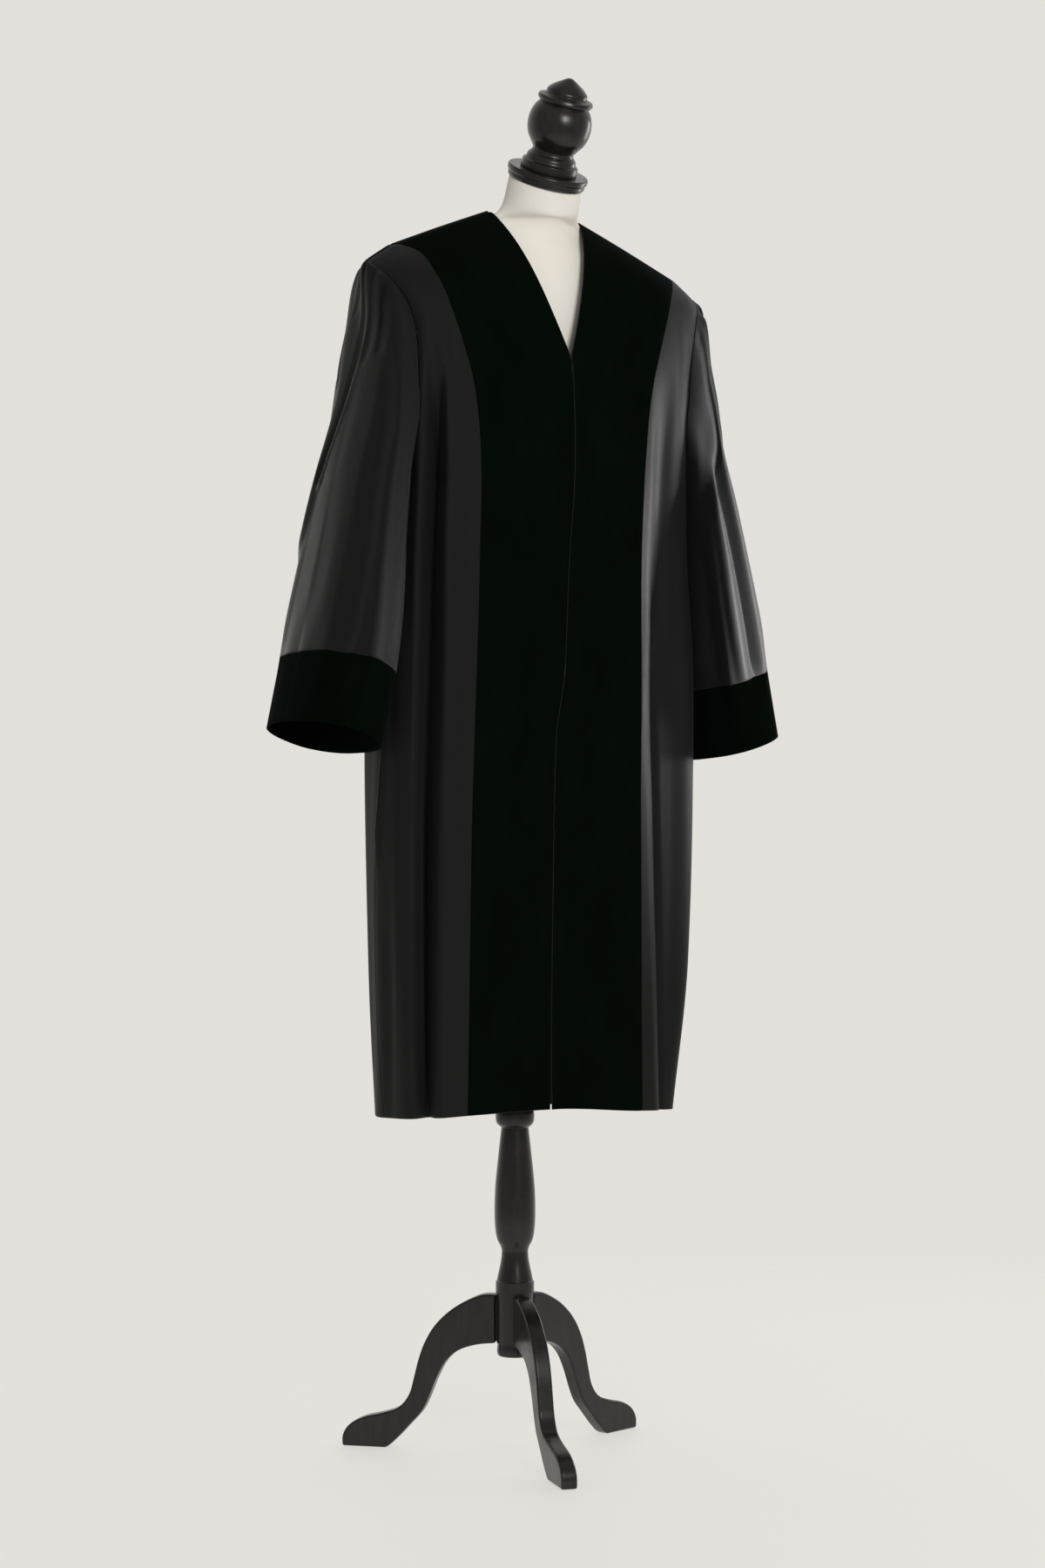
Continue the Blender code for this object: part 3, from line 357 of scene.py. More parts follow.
# The neck plate and the finial, along the tilted axis, from the top down
NECK_PLATE = table(
    "height radius",
    (0, 0.049),
    (-0.0015, 0.05),
    (-0.006, 0.05),
    (-0.0075, 0.0485),
    (-0.0125, 0.048),
    (-0.0145, 0.0465),
)
FINIAL = table(
    "height radius",
    (0.1125, 0.003),
    (0.11, 0.0075),
    (0.0985, 0.0235),
    (0.096, 0.025),
    (0.093, 0.025),
    (0.0915, 0.027),
    (0.0895, 0.033),
    (0.0865, 0.0342),
    (0.0838, 0.033),
    (0.0815, 0.0298),
    (0.074, 0.035),
    (0.065, 0.0382),
    (0.056, 0.0391),
    (0.047, 0.0381),
    (0.038, 0.0347),
    (0.03, 0.029),
    (0.025, 0.0255),
    (0.0215, 0.0262),
    (0.017, 0.03),
    (0.012, 0.0315),
    (0.01, 0.0345),
    (0.004, 0.0352),
    (0.0003, 0.0352),
)
PLATE_CENTRE = Vector((0.0, -0.0825, 1.582))
FINIAL_TILT = radians(28)
TURNED_EDGE = 0.0006
CORNER_TURN = 0.75

# A leg board's outline: reach from the column's axis and height, from the hub's top round to the heel
LEG_OUTLINE = (
    (0.0232, 0.1975), (0.04, 0.1965), (0.059, 0.189), (0.08, 0.1765), (0.1014, 0.1561),
    (0.115, 0.1336), (0.123, 0.1117), (0.1287, 0.0894), (0.1355, 0.0671), (0.148, 0.052),
    (0.17, 0.0435), (0.195, 0.037), (0.213, 0.027), (0.2215, 0.014), (0.222, 0.0),
    (0.166, 0.0), (0.152, 0.011), (0.134, 0.03), (0.118, 0.048), (0.1085, 0.0671),
    (0.0994, 0.0894), (0.0869, 0.1117), (0.072, 0.125), (0.048, 0.1335), (0.0232, 0.1365),
)
LEG_DIRECTIONS = {"leg_front": -103.0, "leg_left": 17.0, "leg_right": 137.0}
LEG_THICKNESS = 0.020
LEG_EDGE = 0.0028
LEG_STEPS = 4


def smooth(t):
    """A soft step from 0 to 1."""
    t = np.clip(t, 0.0, 1.0)
    return t * t * (3.0 - 2.0 * t)


def mix(start, end, share):
    return start + (end - start) * share


def read(rows, column, at):
    """A column's values at places along the table's first column, on a smooth curve."""
    keys = next(iter(rows.values()))
    values = rows[column]
    slopes = np.gradient(values, keys)
    at = np.clip(at, keys[0], keys[-1])
    row = np.clip(np.searchsorted(keys, at, side="right") - 1, 0, len(keys) - 2)
    span = keys[row + 1] - keys[row]
    t = (at - keys[row]) / span
    start = values[row] * (1 + 2 * t) + slopes[row] * span * t
    end = values[row + 1] * (3 - 2 * t) - slopes[row + 1] * span * (1 - t)
    return start * (1 - t) ** 2 + end * t * t


PLAN_HEIGHTS = np.linspace(0.42, 1.57, 231)
PLAN_ARCS = np.linspace(0.0, 0.66, 661)


def plan_grid():
    """The robe's plan on a grid of heights and arc lengths: x, y and each ring's length."""
    turn = np.linspace(0, pi, 401)
    fore = np.cos(turn)
    xs, ys, lengths = [], [], []
    for height in PLAN_HEIGHTS:
        half, middle, front, back, square = (
            read(RINGS, name, height) for name in ("half_width", "middle", "front", "back", "square"))
        x = half * np.abs(np.sin(turn)) ** (2 / square)
        y = middle - np.sign(fore) * np.where(fore > 0, front, back) * np.abs(fore) ** (2 / square)
        arc = np.concatenate([[0.0], np.cumsum(np.hypot(np.diff(x), np.diff(y)))])
        xs.append(np.interp(PLAN_ARCS, arc, x))
        ys.append(np.interp(PLAN_ARCS, arc, y))
        lengths.append(arc[-1])
    return np.array(xs), np.array(ys), np.array(lengths)


PLAN_X, PLAN_Y, PLAN_LENGTH = plan_grid()


def length_at(height):
    """Half the ring's length at heights."""
    return np.interp(height, PLAN_HEIGHTS, PLAN_LENGTH)


def plan(height, arc):
    """Plan positions at heights and arcs from the front's middle."""
    row = np.clip((height - PLAN_HEIGHTS[0]) / (PLAN_HEIGHTS[1] - PLAN_HEIGHTS[0]), 0, len(PLAN_HEIGHTS) - 1.001)
    column = np.clip(arc / PLAN_ARCS[1], 0, len(PLAN_ARCS) - 1.001)
    r, c = row.astype(int), column.astype(int)
    up, along = row - r, column - c
    places = []
    for grid in (PLAN_X, PLAN_Y):
        low = mix(grid[r, c], grid[r, c + 1], along)
        high = mix(grid[r + 1, c], grid[r + 1, c + 1], along)
        places.append(mix(low, high, up))
    return places


def shoulder_line(x):
    """Height of the shoulder's ridge, before its rounding."""
    tip = np.maximum(0.0, x - SHOULDER_TIP_X) * SHOULDER_TIP_SLOPE
    return NECK_POINT_HEIGHT + (NECK_HALF_WIDTH - x) * SHOULDER_SLOPE - tip


def raised(level, x):
    """Height of a row: level with the floor up to the fan, then swung up to the shoulder."""
    share = (level - FAN_START) / (FAN_END - FAN_START)
    return np.where(level <= FAN_START, level, mix(FAN_START, shoulder_line(x), share))


def squeeze(x, height):
    """How far the surface still stands off the shoulder's ridge at a height, from 1 to 0."""
    outer = smooth(x / CLOSING_OUTER_X)
    start = mix(*CLOSING_START, outer)
    power = mix(*CLOSING_POWER, outer)
    ridge = shoulder_line(x)
    rise = np.maximum(0.0, (height - start) / (ridge - start))
    return np.maximum(0.0, 1.0 - rise ** power), (ridge - start) / power


def fold_push(folds, side, across, along):
    """Sum of a table's folds at places: how far the cloth stands out."""
    push = np.zeros(np.broadcast(across, along).shape)
    for fold in rows_of(folds):
        share = (along - fold["start"]) / (fold["end"] - fold["start"])
        offset = across - mix(fold["first"], fold["last"], share)
        if "fade" in fold:
            offset = (offset + 180) % 360 - 180
            fold["rise"] = fold["fall"] = fold["fade"]
        width = np.where(offset < 0, fold["before"], fold["after"])
        bump = 0.5 + 0.5 * np.cos(pi * np.clip(offset / width, -1, 1))
        rise = smooth((along - fold["start"]) / fold["rise"])
        fall = smooth((fold["end"] - along) / fold["fall"])
        push += np.where(side == fold["side"], fold["height"] * bump * rise * fall, 0.0)
    return push


# Two products of waves: how deep, and how fast each factor runs across and along and turns by side
WAVES = table(
    "depth across along turn across_2 along_2 turn_2",
    (0.0005, 61, 3.1, 1, 13, 9.7, 0),
    (0.0003, 143, -5.3, 0, 0, 17.1, 2),
)


def waver(side, place, level):
    """The slow unevenness of hanging cloth, a few tenths of a millimetre deep."""
    push = 0.0
    for wave in rows_of(WAVES):
        first = np.sin(place * wave["across"] + level * wave["along"] + side * wave["turn"])
        second = np.sin(place * wave["across_2"] + level * wave["along_2"] + side * wave["turn_2"])
        push = push + wave["depth"] * first * second
    return push


def push_out(side, place, level, height, x, y):
    """Places moved off the plain rings by the folds, the creases and the waver."""
    length = length_at(height)
    ahead = plan(height, np.minimum(place + TANGENT_STEP, length))
    astern = plan(height, np.maximum(place - TANGENT_STEP, 0))
    tangent_x, tangent_y = ahead[0] - astern[0], ahead[1] - astern[1]
    long = np.maximum(np.hypot(tangent_x, tangent_y), 1e-9)
    push = fold_push(FRONT_FOLDS, side, place, level) + fold_push(BACK_FOLDS, side, length - place, level)
    push += waver(side, place, level) * smooth((FAN_END - level) / WAVER_HEAD)
    return x + push * tangent_y / long, y - push * tangent_x / long


def close_at_ridge(x, y, height, level):
    """Places front to back and heights, once the surface leans in to the shoulder's ridge."""
    middle = read(RINGS, "middle", height)
    bulge = read(RINGS, "bulge", height) * (1 - smooth(x / FLAT_FRONT))
    depth = np.where(y < middle, y - bulge, y) - middle
    share, slope = squeeze(x, height)
    size = np.maximum(np.abs(depth), 1e-6)
    near = np.where(level > FAN_START, np.maximum(RIDGE_ROUNDING - size * share, 0.0), 0.0)
    return middle + depth * share, height - slope / size * near * near / (2 * RIDGE_ROUNDING)


def hem_drop(side, place, level):
    """How much lower the hem hangs away from the front's middle."""
    left = LEFT_DROP * smooth(place / LEFT_DROP_FADE) * smooth((LEFT_DROP_END - place) / LEFT_DROP_FADE)
    drop = HEM_DROP * smooth(place / HEM_DROP_ARC) + np.where(side > 0, left, 0.0)
    return drop * smooth((HEM_DROP_TOP - level) / HEM_DROP_FADE)


def cloth(side, arc, level, behind=False):
    """Points of the robe's outer surface; arc starts at the front's or the back's middle."""
    arc, level = np.broadcast_arrays(np.asarray(arc, float), np.asarray(level, float))
    side = np.where(arc < 0, -side, side)
    arc = np.abs(arc)
    height = level
    for _ in range(SETTLING_ROUNDS):
        place = length_at(height) - arc if behind else arc
        x, y = plan(height, place)
        height = raised(level, x)
    x, y = push_out(side, place, level, height, x, y)
    y, height = close_at_ridge(x, y, height, level)
    return np.stack([side * x, y, height - hem_drop(side, place, level)], axis=-1)


def velvet_edge(side, level):
    """Arc of the velvet's outer edge."""
    return read(VELVET_EDGE, "right" if side < 0 else "left", level)


def closure_gap(level):
    """Half of the gap between the two fronts: it opens at the V's foot and at the hem."""
    top = TOP_OPENING * smooth((level - TOP_OPENING_LEVEL) / OPENING_FADE)
    foot = FOOT_OPENING * smooth((FOOT_OPENING_LEVEL - level) / OPENING_FADE)
    return SEAM + top + foot


def closure_arc(side, level):
    """The closing edge up to the foot of the V, then the V's edge up to the neck point."""
    drift = CLOSURE_DRIFT * smooth((DRIFT_TOP - level) / DRIFT_FADE)
    share = np.clip((level - FAN_START) / (FAN_END - FAN_START), 0, 1)
    reach = smooth(1 - np.abs(level - CLOSING_WAVE_PLACE) / CLOSING_WAVE_REACH)
    wave = CLOSING_WAVE * np.sin(level * CLOSING_WAVE_TURNS) * reach
    return closure_gap(level) - side * (drift + wave) + NECK_HALF_WIDTH * share ** V_EDGE_CURVE


def arc_at_depth(level, depth_place):
    """Arcs at which the ring reaches places front to back, and half the ring's length."""
    low = np.full(np.shape(level), SEARCH_MARGIN)
    high = length_at(level) - SEARCH_MARGIN
    for _ in range(SEARCH_ROUNDS):
        arc = (low + high) / 2
        height = level
        for _ in range(SEARCH_SETTLING):
            x, y = plan(height, arc)
            height = raised(level, x)
        behind = y > depth_place
        high = np.where(behind, arc, high)
        low = np.where(behind, low, arc)
    return arc, length_at(height)


def side_edge(level, direction):
    """Arcs of the side seam and above it of the armhole's edge, and half the ring's length."""
    level = np.asarray(level, float)
    rise = np.clip((level - ARMPIT) / ARMHOLE_ROUNDING, 0, 1)
    reach = ARMHOLE_HALF * np.sqrt(1 - (1 - rise) ** 2)
    seam = read(SIDE_SEAM, "depth_place", np.minimum(level, ARMPIT))
    return arc_at_depth(level, seam + direction * reach)


def armhole_level(angle):
    """Level on the armhole's edge at an angle from the shoulder point down to the armpit."""
    return mix(ARMPIT, FAN_END, 0.5 + 0.5 * np.cos(np.radians(angle)))


def slit_gap(level):
    """Half gap of the side seam: it opens a little at the hand slit."""
    slit = smooth((SLIT_TOP - level) / OPENING_FADE) * smooth((level - SLIT_FOOT) / OPENING_FADE)
    return SEAM + SLIT_OPENING * slit


def row_levels():
    """Levels of the body's rows: even up to the armpit, then closer to the shoulder."""
    low = np.linspace(HEM, ARMPIT, BODY_ROWS, endpoint=False)
    high = armhole_level(np.linspace(180, 0, ARMHOLE_ROWS))
    high[-1] = FAN_END - RIDGE_SEAM
    return np.concatenate([low, high])


def grid_normals(points, loop):
    """Outward-or-inward unit normals of a grid of points, by its rows' and columns' directions."""
    if loop:
        along = np.roll(points, -1, axis=1) - np.roll(points, 1, axis=1)
    else:
        along = np.gradient(points, axis=1)
    up = np.gradient(points, axis=0)
    normal = np.cross(along, up)
    return normal / np.maximum(np.linalg.norm(normal, axis=2, keepdims=True), 1e-12)


def border(rows, columns, loop):
    """Index chains round a grid's free edges, each with the neighbours one step further in."""
    ids = np.arange(rows * columns).reshape(rows, columns)
    if loop:
        return [(ids[0], ids[1]), (ids[-1, ::-1], ids[-2, ::-1])]
    inside = ids[np.clip(np.arange(rows), 1, rows - 2)][:, np.clip(np.arange(columns), 1, columns - 2)]
    chain, inward = (np.concatenate([grid[0], grid[1:, -1], grid[-1, -2::-1], grid[-2:0:-1, 0]])
                     for grid in (ids, inside))
    return [(chain, inward)]


def grid_quads(rows, columns, loop, flip=False):
    """Corners of a grid's faces, turned over if asked."""
    ids = np.arange(rows * columns).reshape(rows, columns)
    if loop:
        ids = np.hstack([ids, ids[:, :1]])
    quads = np.stack([ids[:-1, :-1], ids[:-1, 1:], ids[1:, 1:], ids[1:, :-1]], -1).reshape(-1, 4)
    return quads[:, ::-1] if flip else quads


def tube_faces(rows, columns):
    """Faces of a closed tube whose rings run upwards, with both ends filled."""
    foot = list(range(columns))
    head = [(rows - 1) * columns + k for k in foot]
    return [*grid_quads(rows, columns, loop=True).tolist(), foot[::-1], head]


def cut_lengths(points):
    """Distances along a grid's rows and up its columns, as on the flat cut."""
    rows, columns = points.shape[:2]
    across = np.linalg.norm(np.diff(points, axis=1, append=points[:, :1]), axis=2)
    across = np.concatenate([np.zeros((rows, 1)), np.cumsum(across, axis=1)[:, :-1]], axis=1)
    upward = np.linalg.norm(np.diff(points, axis=0), axis=2)
    return across, np.concatenate([np.zeros((1, columns)), np.cumsum(upward, axis=0)], axis=0)


def sheet(name, points, thickness, material, loop=False, flip=False, edging=None):
    """A cloth piece: a fine grid, its inner face and a rounded edge between them."""
    rows, columns = points.shape[:2]
    count = rows * columns
    normal = grid_normals(points, loop) * (-1 if flip else 1)
    outer = points.reshape(-1, 3)
    inner = outer - normal.reshape(-1, 3) * thickness
    verts = [outer, inner]
    quads = grid_quads(rows, columns, loop, flip)
    faces = [np.stack([quads, count + quads[:, ::-1]], 1).reshape(-1, 4)]
    total = 2 * count
    for chain, inward in border(rows, columns, loop):
        away = outer[chain] - outer[inward]
        away /= np.maximum(np.linalg.norm(away, axis=1, keepdims=True), 1e-12)
        verts.append((outer[chain] + inner[chain]) / 2 + away * thickness * EDGE_ROUNDING)
        middle = total + np.arange(len(chain))
        after, middle_after = np.roll(chain, -1), np.roll(middle, -1)
        strips = np.stack([after, chain, middle, middle_after,
                           middle_after, middle, count + chain, count + after], 1).reshape(-1, 4)
        faces.append(strips[:, ::-1] if flip else strips)
        total += len(chain)
    faced = len(faces[0])
    faces = np.concatenate(faces).tolist()
    piece = add_piece(name, np.concatenate(verts), faces, material, cut_lengths(points))
    if edging is not None:
        piece.data.materials.append(edging)
        on_edge = np.arange(len(faces)) >= faced
        piece.data.polygons.foreach_set("material_index", on_edge.astype(np.int32))
    return piece


def place_object(name, data):
    """A new object in the scene."""
    item = bpy.data.objects.new(name, data)
    bpy.context.scene.collection.objects.link(item)
    return item


def add_piece(name, verts, faces, material, cut=None):
    """An object on the root body from points in the stand's own place."""
    data = bpy.data.meshes.new(name)
    data.from_pydata((verts + np.array(AXIS)).tolist(), [], faces)
    data.shade_smooth()
    data.materials.append(material)
    if cut is not None:
        layer = data.uv_layers.new(name="cut")
        flat = np.stack([part.ravel() for part in cut], axis=1)
        count = len(flat)
        corners = np.zeros(len(data.loops), int)
        data.loops.foreach_get("vertex_index", corners)
        places = np.where(corners < 2 * count, corners % count, 0)
        layer.data.foreach_set("uv", flat[places].astype(np.float32).ravel())
    piece = place_object(name, data)
    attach(piece, "root")
    return piece


def velvet_front(name, side, material, facing):
    """The velvet band from the shoulder down to the hem, along the closing edge."""
    levels = row_levels()[:, None]
    inner = closure_arc(side, levels)
    outer = velvet_edge(side, levels) - SEAM
    share = np.linspace(0, 1, VELVET_COLUMNS + 1)[None, :] ** VELVET_CROWDING
    arc = mix(inner, outer, share)
    points = cloth(side, arc, levels)
    if side > 0:
        roll = CLOSING_RISE * (1 - smooth((arc - inner) / CLOSING_ROLL))
        points[..., 1] -= roll * smooth((FAN_START - levels) / OPENING_FADE)
    return sheet(name, points, VELVET, material, flip=side < 0, edging=facing)


def wool_front(name, side, material):
    """The wool front from the velvet band to the side seam and the armhole."""
    levels = row_levels()[:, None]
    inner = velvet_edge(side, levels) + SEAM
    outer = side_edge(levels, -1)[0] - slit_gap(levels)
    share = np.linspace(0, 1, FRONT_COLUMNS + 1)[None, :]
    return sheet(name, cloth(side, mix(inner, outer, share), levels), WOOL, material, flip=side < 0)


def back_reach(level):
    """Arc from the back's middle to its edge at the side seam or the armhole."""
    edge, length = side_edge(level, 1)
    return length - edge - slit_gap(level)


def yoke_end_arc():
    """Arc along the back at which the shoulder's ridge meets the velvet's outer edge."""
    arcs = np.linspace(*YOKE_SEARCH)
    across = cloth(1, arcs, FAN_END, behind=True)[:, 0]
    return float(np.interp(YOKE_END, across, arcs))


def yoke_share(across, middle_height, end_height, end):
    """Share of the fan at a cut that rises from a height at the middle to one at its end."""
    height = mix(middle_height, end_height, (across / end) ** 2)
    return (height - FAN_START) / (shoulder_line(across) - FAN_START)


def wool_back(name, material):
    """The back, from side seam to side seam and up to the yoke and the shoulders."""
    levels = row_levels()[:, None]
    reach = back_reach(levels)
    end = yoke_end_arc()
    share = np.linspace(-1, 1, 2 * BACK_COLUMNS + 1)[None, :]
    arc = share * reach
    across = np.abs(arc) / end * YOKE_END
    top = yoke_share(across, YOKE_MIDDLE_HEIGHT, YOKE_END_HEIGHT, YOKE_END) - YOKE_SEAM
    top = np.where(across > YOKE_END, 1.0, np.minimum(top, 1.0))
    swung = np.where(levels > FAN_START, FAN_START + (levels - FAN_START) * top, levels)
    return sheet(name, cloth(1, arc, swung, behind=True), WOOL, material, flip=True)


def yoke(name, material):
    """The velvet round the back of the neck, from one shoulder's seam to the other's."""
    share = np.linspace(-1, 1, 2 * YOKE_COLUMNS + 1)[None, :]
    x = np.abs(share) * YOKE_END
    low = yoke_share(x, YOKE_MIDDLE_HEIGHT, YOKE_END_HEIGHT, YOKE_END)
    neck = yoke_share(x, BACK_NECK_HEIGHT, NECK_POINT_HEIGHT, NECK_HALF_WIDTH)
    high = np.where(x < NECK_HALF_WIDTH, neck, 1 - RIDGE_SEAM / (FAN_END - FAN_START))
    rise = np.sin(np.linspace(0, pi / 2, YOKE_ROWS + 1))[:, None]
    level = mix(FAN_START, FAN_END, mix(low, high, rise))
    return sheet(name, cloth(1, share * yoke_end_arc(), level, behind=True), VELVET, material, flip=True)


def power(value, exponent):
    """A signed power, for a squarish round."""
    return np.sign(value) * np.abs(value) ** exponent


def armhole_edge(side, angle):
    """Points on the body's armhole edge, set out by the seam."""
    behind = angle > 180
    level = armhole_level(np.where(behind, 360 - angle, angle))
    fore = cloth(side, side_edge(level, -1)[0], level)
    aft = cloth(side, back_reach(level), level, behind=True)
    points = np.where(behind[..., None], aft, fore)
    points[..., 0] += side * SLEEVE_SEAM
    return points


def arm_line(side, run, name, shift=0.0):
    """Points of the sleeve's outer or inner line."""
    x = side * (read(SLEEVE, name + "_x", run) - shift)
    return np.stack([x, 0 * run, read(SLEEVE, name + "_z", run)], -1)


def tube(side, run, angle):
    """Points of the plain sleeve, and its outward directions."""
    outer = arm_line(side, run, "outer", SLEEVE_NARROWING[side] * smooth(run / HEAD_BLEND))
    inner = arm_line(side, run, "inner")
    half = (outer - inner) / 2
    depth = read(SLEEVE, "half_depth", run)
    across, fore = np.cos(np.radians(angle)), np.sin(np.radians(angle))
    exponent = 2 / SLEEVE_SQUARE
    points = (outer + inner) / 2 + half * power(across, exponent)[..., None]
    points[..., 1] = read(SLEEVE, "middle", run) - depth * power(fore, exponent)
    outward = half * across[..., None] / np.linalg.norm(half, axis=2, keepdims=True) ** 2
    outward[..., 1] -= fore / depth
    return points, outward / np.linalg.norm(outward, axis=2, keepdims=True)


def sleeve_grid(side, runs):
    """Points of the sleeve or cuff: run is 0 at the armhole and CUFF_START at the cuff's seam."""
    angle = np.linspace(0, 360, SLEEVE_COLUMNS, endpoint=False)[None, :]
    run = runs[:, None]
    points, outward = tube(side, run, angle)
    level = SLEEVE_HEAD_LEVEL - SLEEVE_FALL * run
    push = waver(side, angle / 360 * SLEEVE_ROUND, level) * smooth(run / SLEEVE_WAVER_RUN)
    push += fold_push(SLEEVE_FOLDS, side, angle, run)
    plain_head = tube(side, np.zeros((1, 1)), angle)[0]
    head = (armhole_edge(side, angle) - plain_head) * (1 - smooth(run / HEAD_BLEND)[..., None])
    return points + outward * push[..., None] + head


def sleeve(name, side, material):
    """The pleated sleeve; its rows lie closer together at the head."""
    runs = (CUFF_START - CUFF_SEAM) * np.linspace(0, 1, SLEEVE_ROWS + 1) ** HEAD_CROWDING
    return sheet(name, sleeve_grid(side, runs), WOOL, material, loop=True, flip=side < 0)


def cuff(name, side, material):
    """The velvet cuff below the sleeve."""
    runs = np.linspace(CUFF_START + CUFF_SEAM, CUFF_END, CUFF_ROWS + 1)
    return sheet(name, sleeve_grid(side, runs), VELVET, material, loop=True, flip=side < 0)


def form_torso(name, material):
    """The limbless form with its neck: a cage of rings, softened by subdivision."""
    turn = np.linspace(0, 2 * pi, FORM_COLUMNS, endpoint=False)
    rings = []
    for row in rows_of(FORM_RINGS):
        exponent = 2 / row["square"]
        depth = np.where(np.cos(turn) > 0, row["front"], row["back"])
        x = row["half_width"] * power(np.sin(turn), exponent)
        y = -depth * power(np.cos(turn), exponent)
        y -= np.where(np.cos(turn) > 0, row["throat"] * (1 - smooth(np.abs(x) / THROAT_HALF_WIDTH)), 0)
        lean = np.array(Matrix.Rotation(radians(row["tilt"]), 3, "X"))
        rings.append(np.stack([x, y, 0 * x], 1) @ lean.T + np.array([0, row["middle"], row["height"]]))
    piece = add_piece(name, np.concatenate(rings), tube_faces(len(rings), FORM_COLUMNS), material)
    creases = piece.data.attributes.new("crease_edge", "FLOAT", "EDGE")
    first = (len(rings) - 1) * FORM_COLUMNS
    for edge in piece.data.edges:
        if min(edge.vertices) >= first:
            creases.data[edge.index].value = 1.0
    subdivision = piece.modifiers.new("soft form", "SUBSURF")
    subdivision.levels = 3
    subdivision.render_levels = 3
    return piece


def unit(vector):
    return vector / max(np.linalg.norm(vector), 1e-9)


def flowing(points, steps, closed=False):
    """An outline drawn as a smooth curve through its points, but for its sharp corners."""
    points = np.array(points, float)
    count = len(points)
    places = []
    for k in range(count if closed else count - 1):
        start, end = points[k], points[(k + 1) % count]
        along = unit(end - start)
        tangents = []
        for other, here in ((points[k - 1], start), (points[(k + 2) % count], end)):
            outside = unit((here - other) if here is start else (other - here))
            free = closed or (k > 0 if here is start else k + 2 < count)
            turns = not free or float(outside @ along) < CORNER_TURN
            tangents.append(along if turns else unit(outside + along))
        span = np.linalg.norm(end - start)
        for step in range(steps):
            t = step / steps
            place = start * (1 + 2 * t) * (1 - t) ** 2 + end * t * t * (3 - 2 * t)
            place = place + (tangents[0] * t * (1 - t) ** 2 - tangents[1] * t * t * (1 - t)) * span
            places.append(place)
    if not closed:
        places.append(points[-1])
    return np.array(places)


def soften(piece, width):
    """Rounded edges on a hard piece."""
    piece.data.set_sharp_from_angle(angle=radians(SHARP_ANGLE))
    bevel = piece.modifiers.new("soft edges", "BEVEL")
    bevel.width = width
    bevel.segments = 3
    bevel.limit_method = "ANGLE"
    bevel.angle_limit = radians(SHARP_ANGLE)
    bevel.harden_normals = True


def turned(name, profile, material, place=(0, 0, 0), tilt=0.0):
    """A turned piece, its profile drawn as a smooth curve between its corners."""
    outline = flowing(list(zip(profile["radius"], profile["height"])), TURNED_STEPS_BETWEEN)[::-1]
    turn = np.linspace(0, 2 * pi, TURNED_STEPS, endpoint=False)
    lean = np.array(Matrix.Rotation(tilt, 3, "X"))
    rings = []
    for radius, height in outline:
        ring = np.stack([radius * np.cos(turn), radius * np.sin(turn), np.full(TURNED_STEPS, height)], 1)
        rings.append(ring @ lean.T + np.array(place))
    piece = add_piece(name, np.concatenate(rings), tube_faces(len(rings), TURNED_STEPS), material)
    soften(piece, TURNED_EDGE)
    return piece


def leg(name, direction, material):
    """One sawn leg board with its edges rounded over; its foot stays on the floor."""
    outline = flowing(LEG_OUTLINE, LEG_STEPS, closed=True)
    outline[:, 1] = np.maximum(outline[:, 1], 0.0)
    turn = radians(direction)
    along, across = np.array([np.cos(turn), np.sin(turn), 0]), np.array([-np.sin(turn), np.cos(turn), 0])
    middle = outline[:, :1] * along + outline[:, 1:] * np.array([0, 0, 1.0])
    verts = np.concatenate([middle - across * LEG_THICKNESS / 2, middle + across * LEG_THICKNESS / 2])
    piece = add_piece(name, verts, tube_faces(2, len(outline)), material)
    soften(piece, LEG_EDGE)
    return piece


# Colours and values of the textures, dark and light
WOOL_TONES = ((0.0098, 0.0099, 0.0100), (0.0146, 0.0147, 0.0148))
VELVET_TONES = ((0.0008, 0.0026, 0.0014), (0.0016, 0.0038, 0.0024))
FORM_TONES = ((0.86, 0.82, 0.74), (0.89, 0.86, 0.79))
LACQUER_TONES = ((0.0060, 0.0056, 0.0055), (0.0150, 0.0132, 0.0125))
LACQUER_ROUGHNESS = ((0.22, 0.22, 0.22), (0.34, 0.34, 0.34))
BACKDROP = (0.770, 0.748, 0.712)
FRONT_ROOM = (0.340, 0.335, 0.328)
FLOOR_COLOUR = (0.22, 0.215, 0.208)


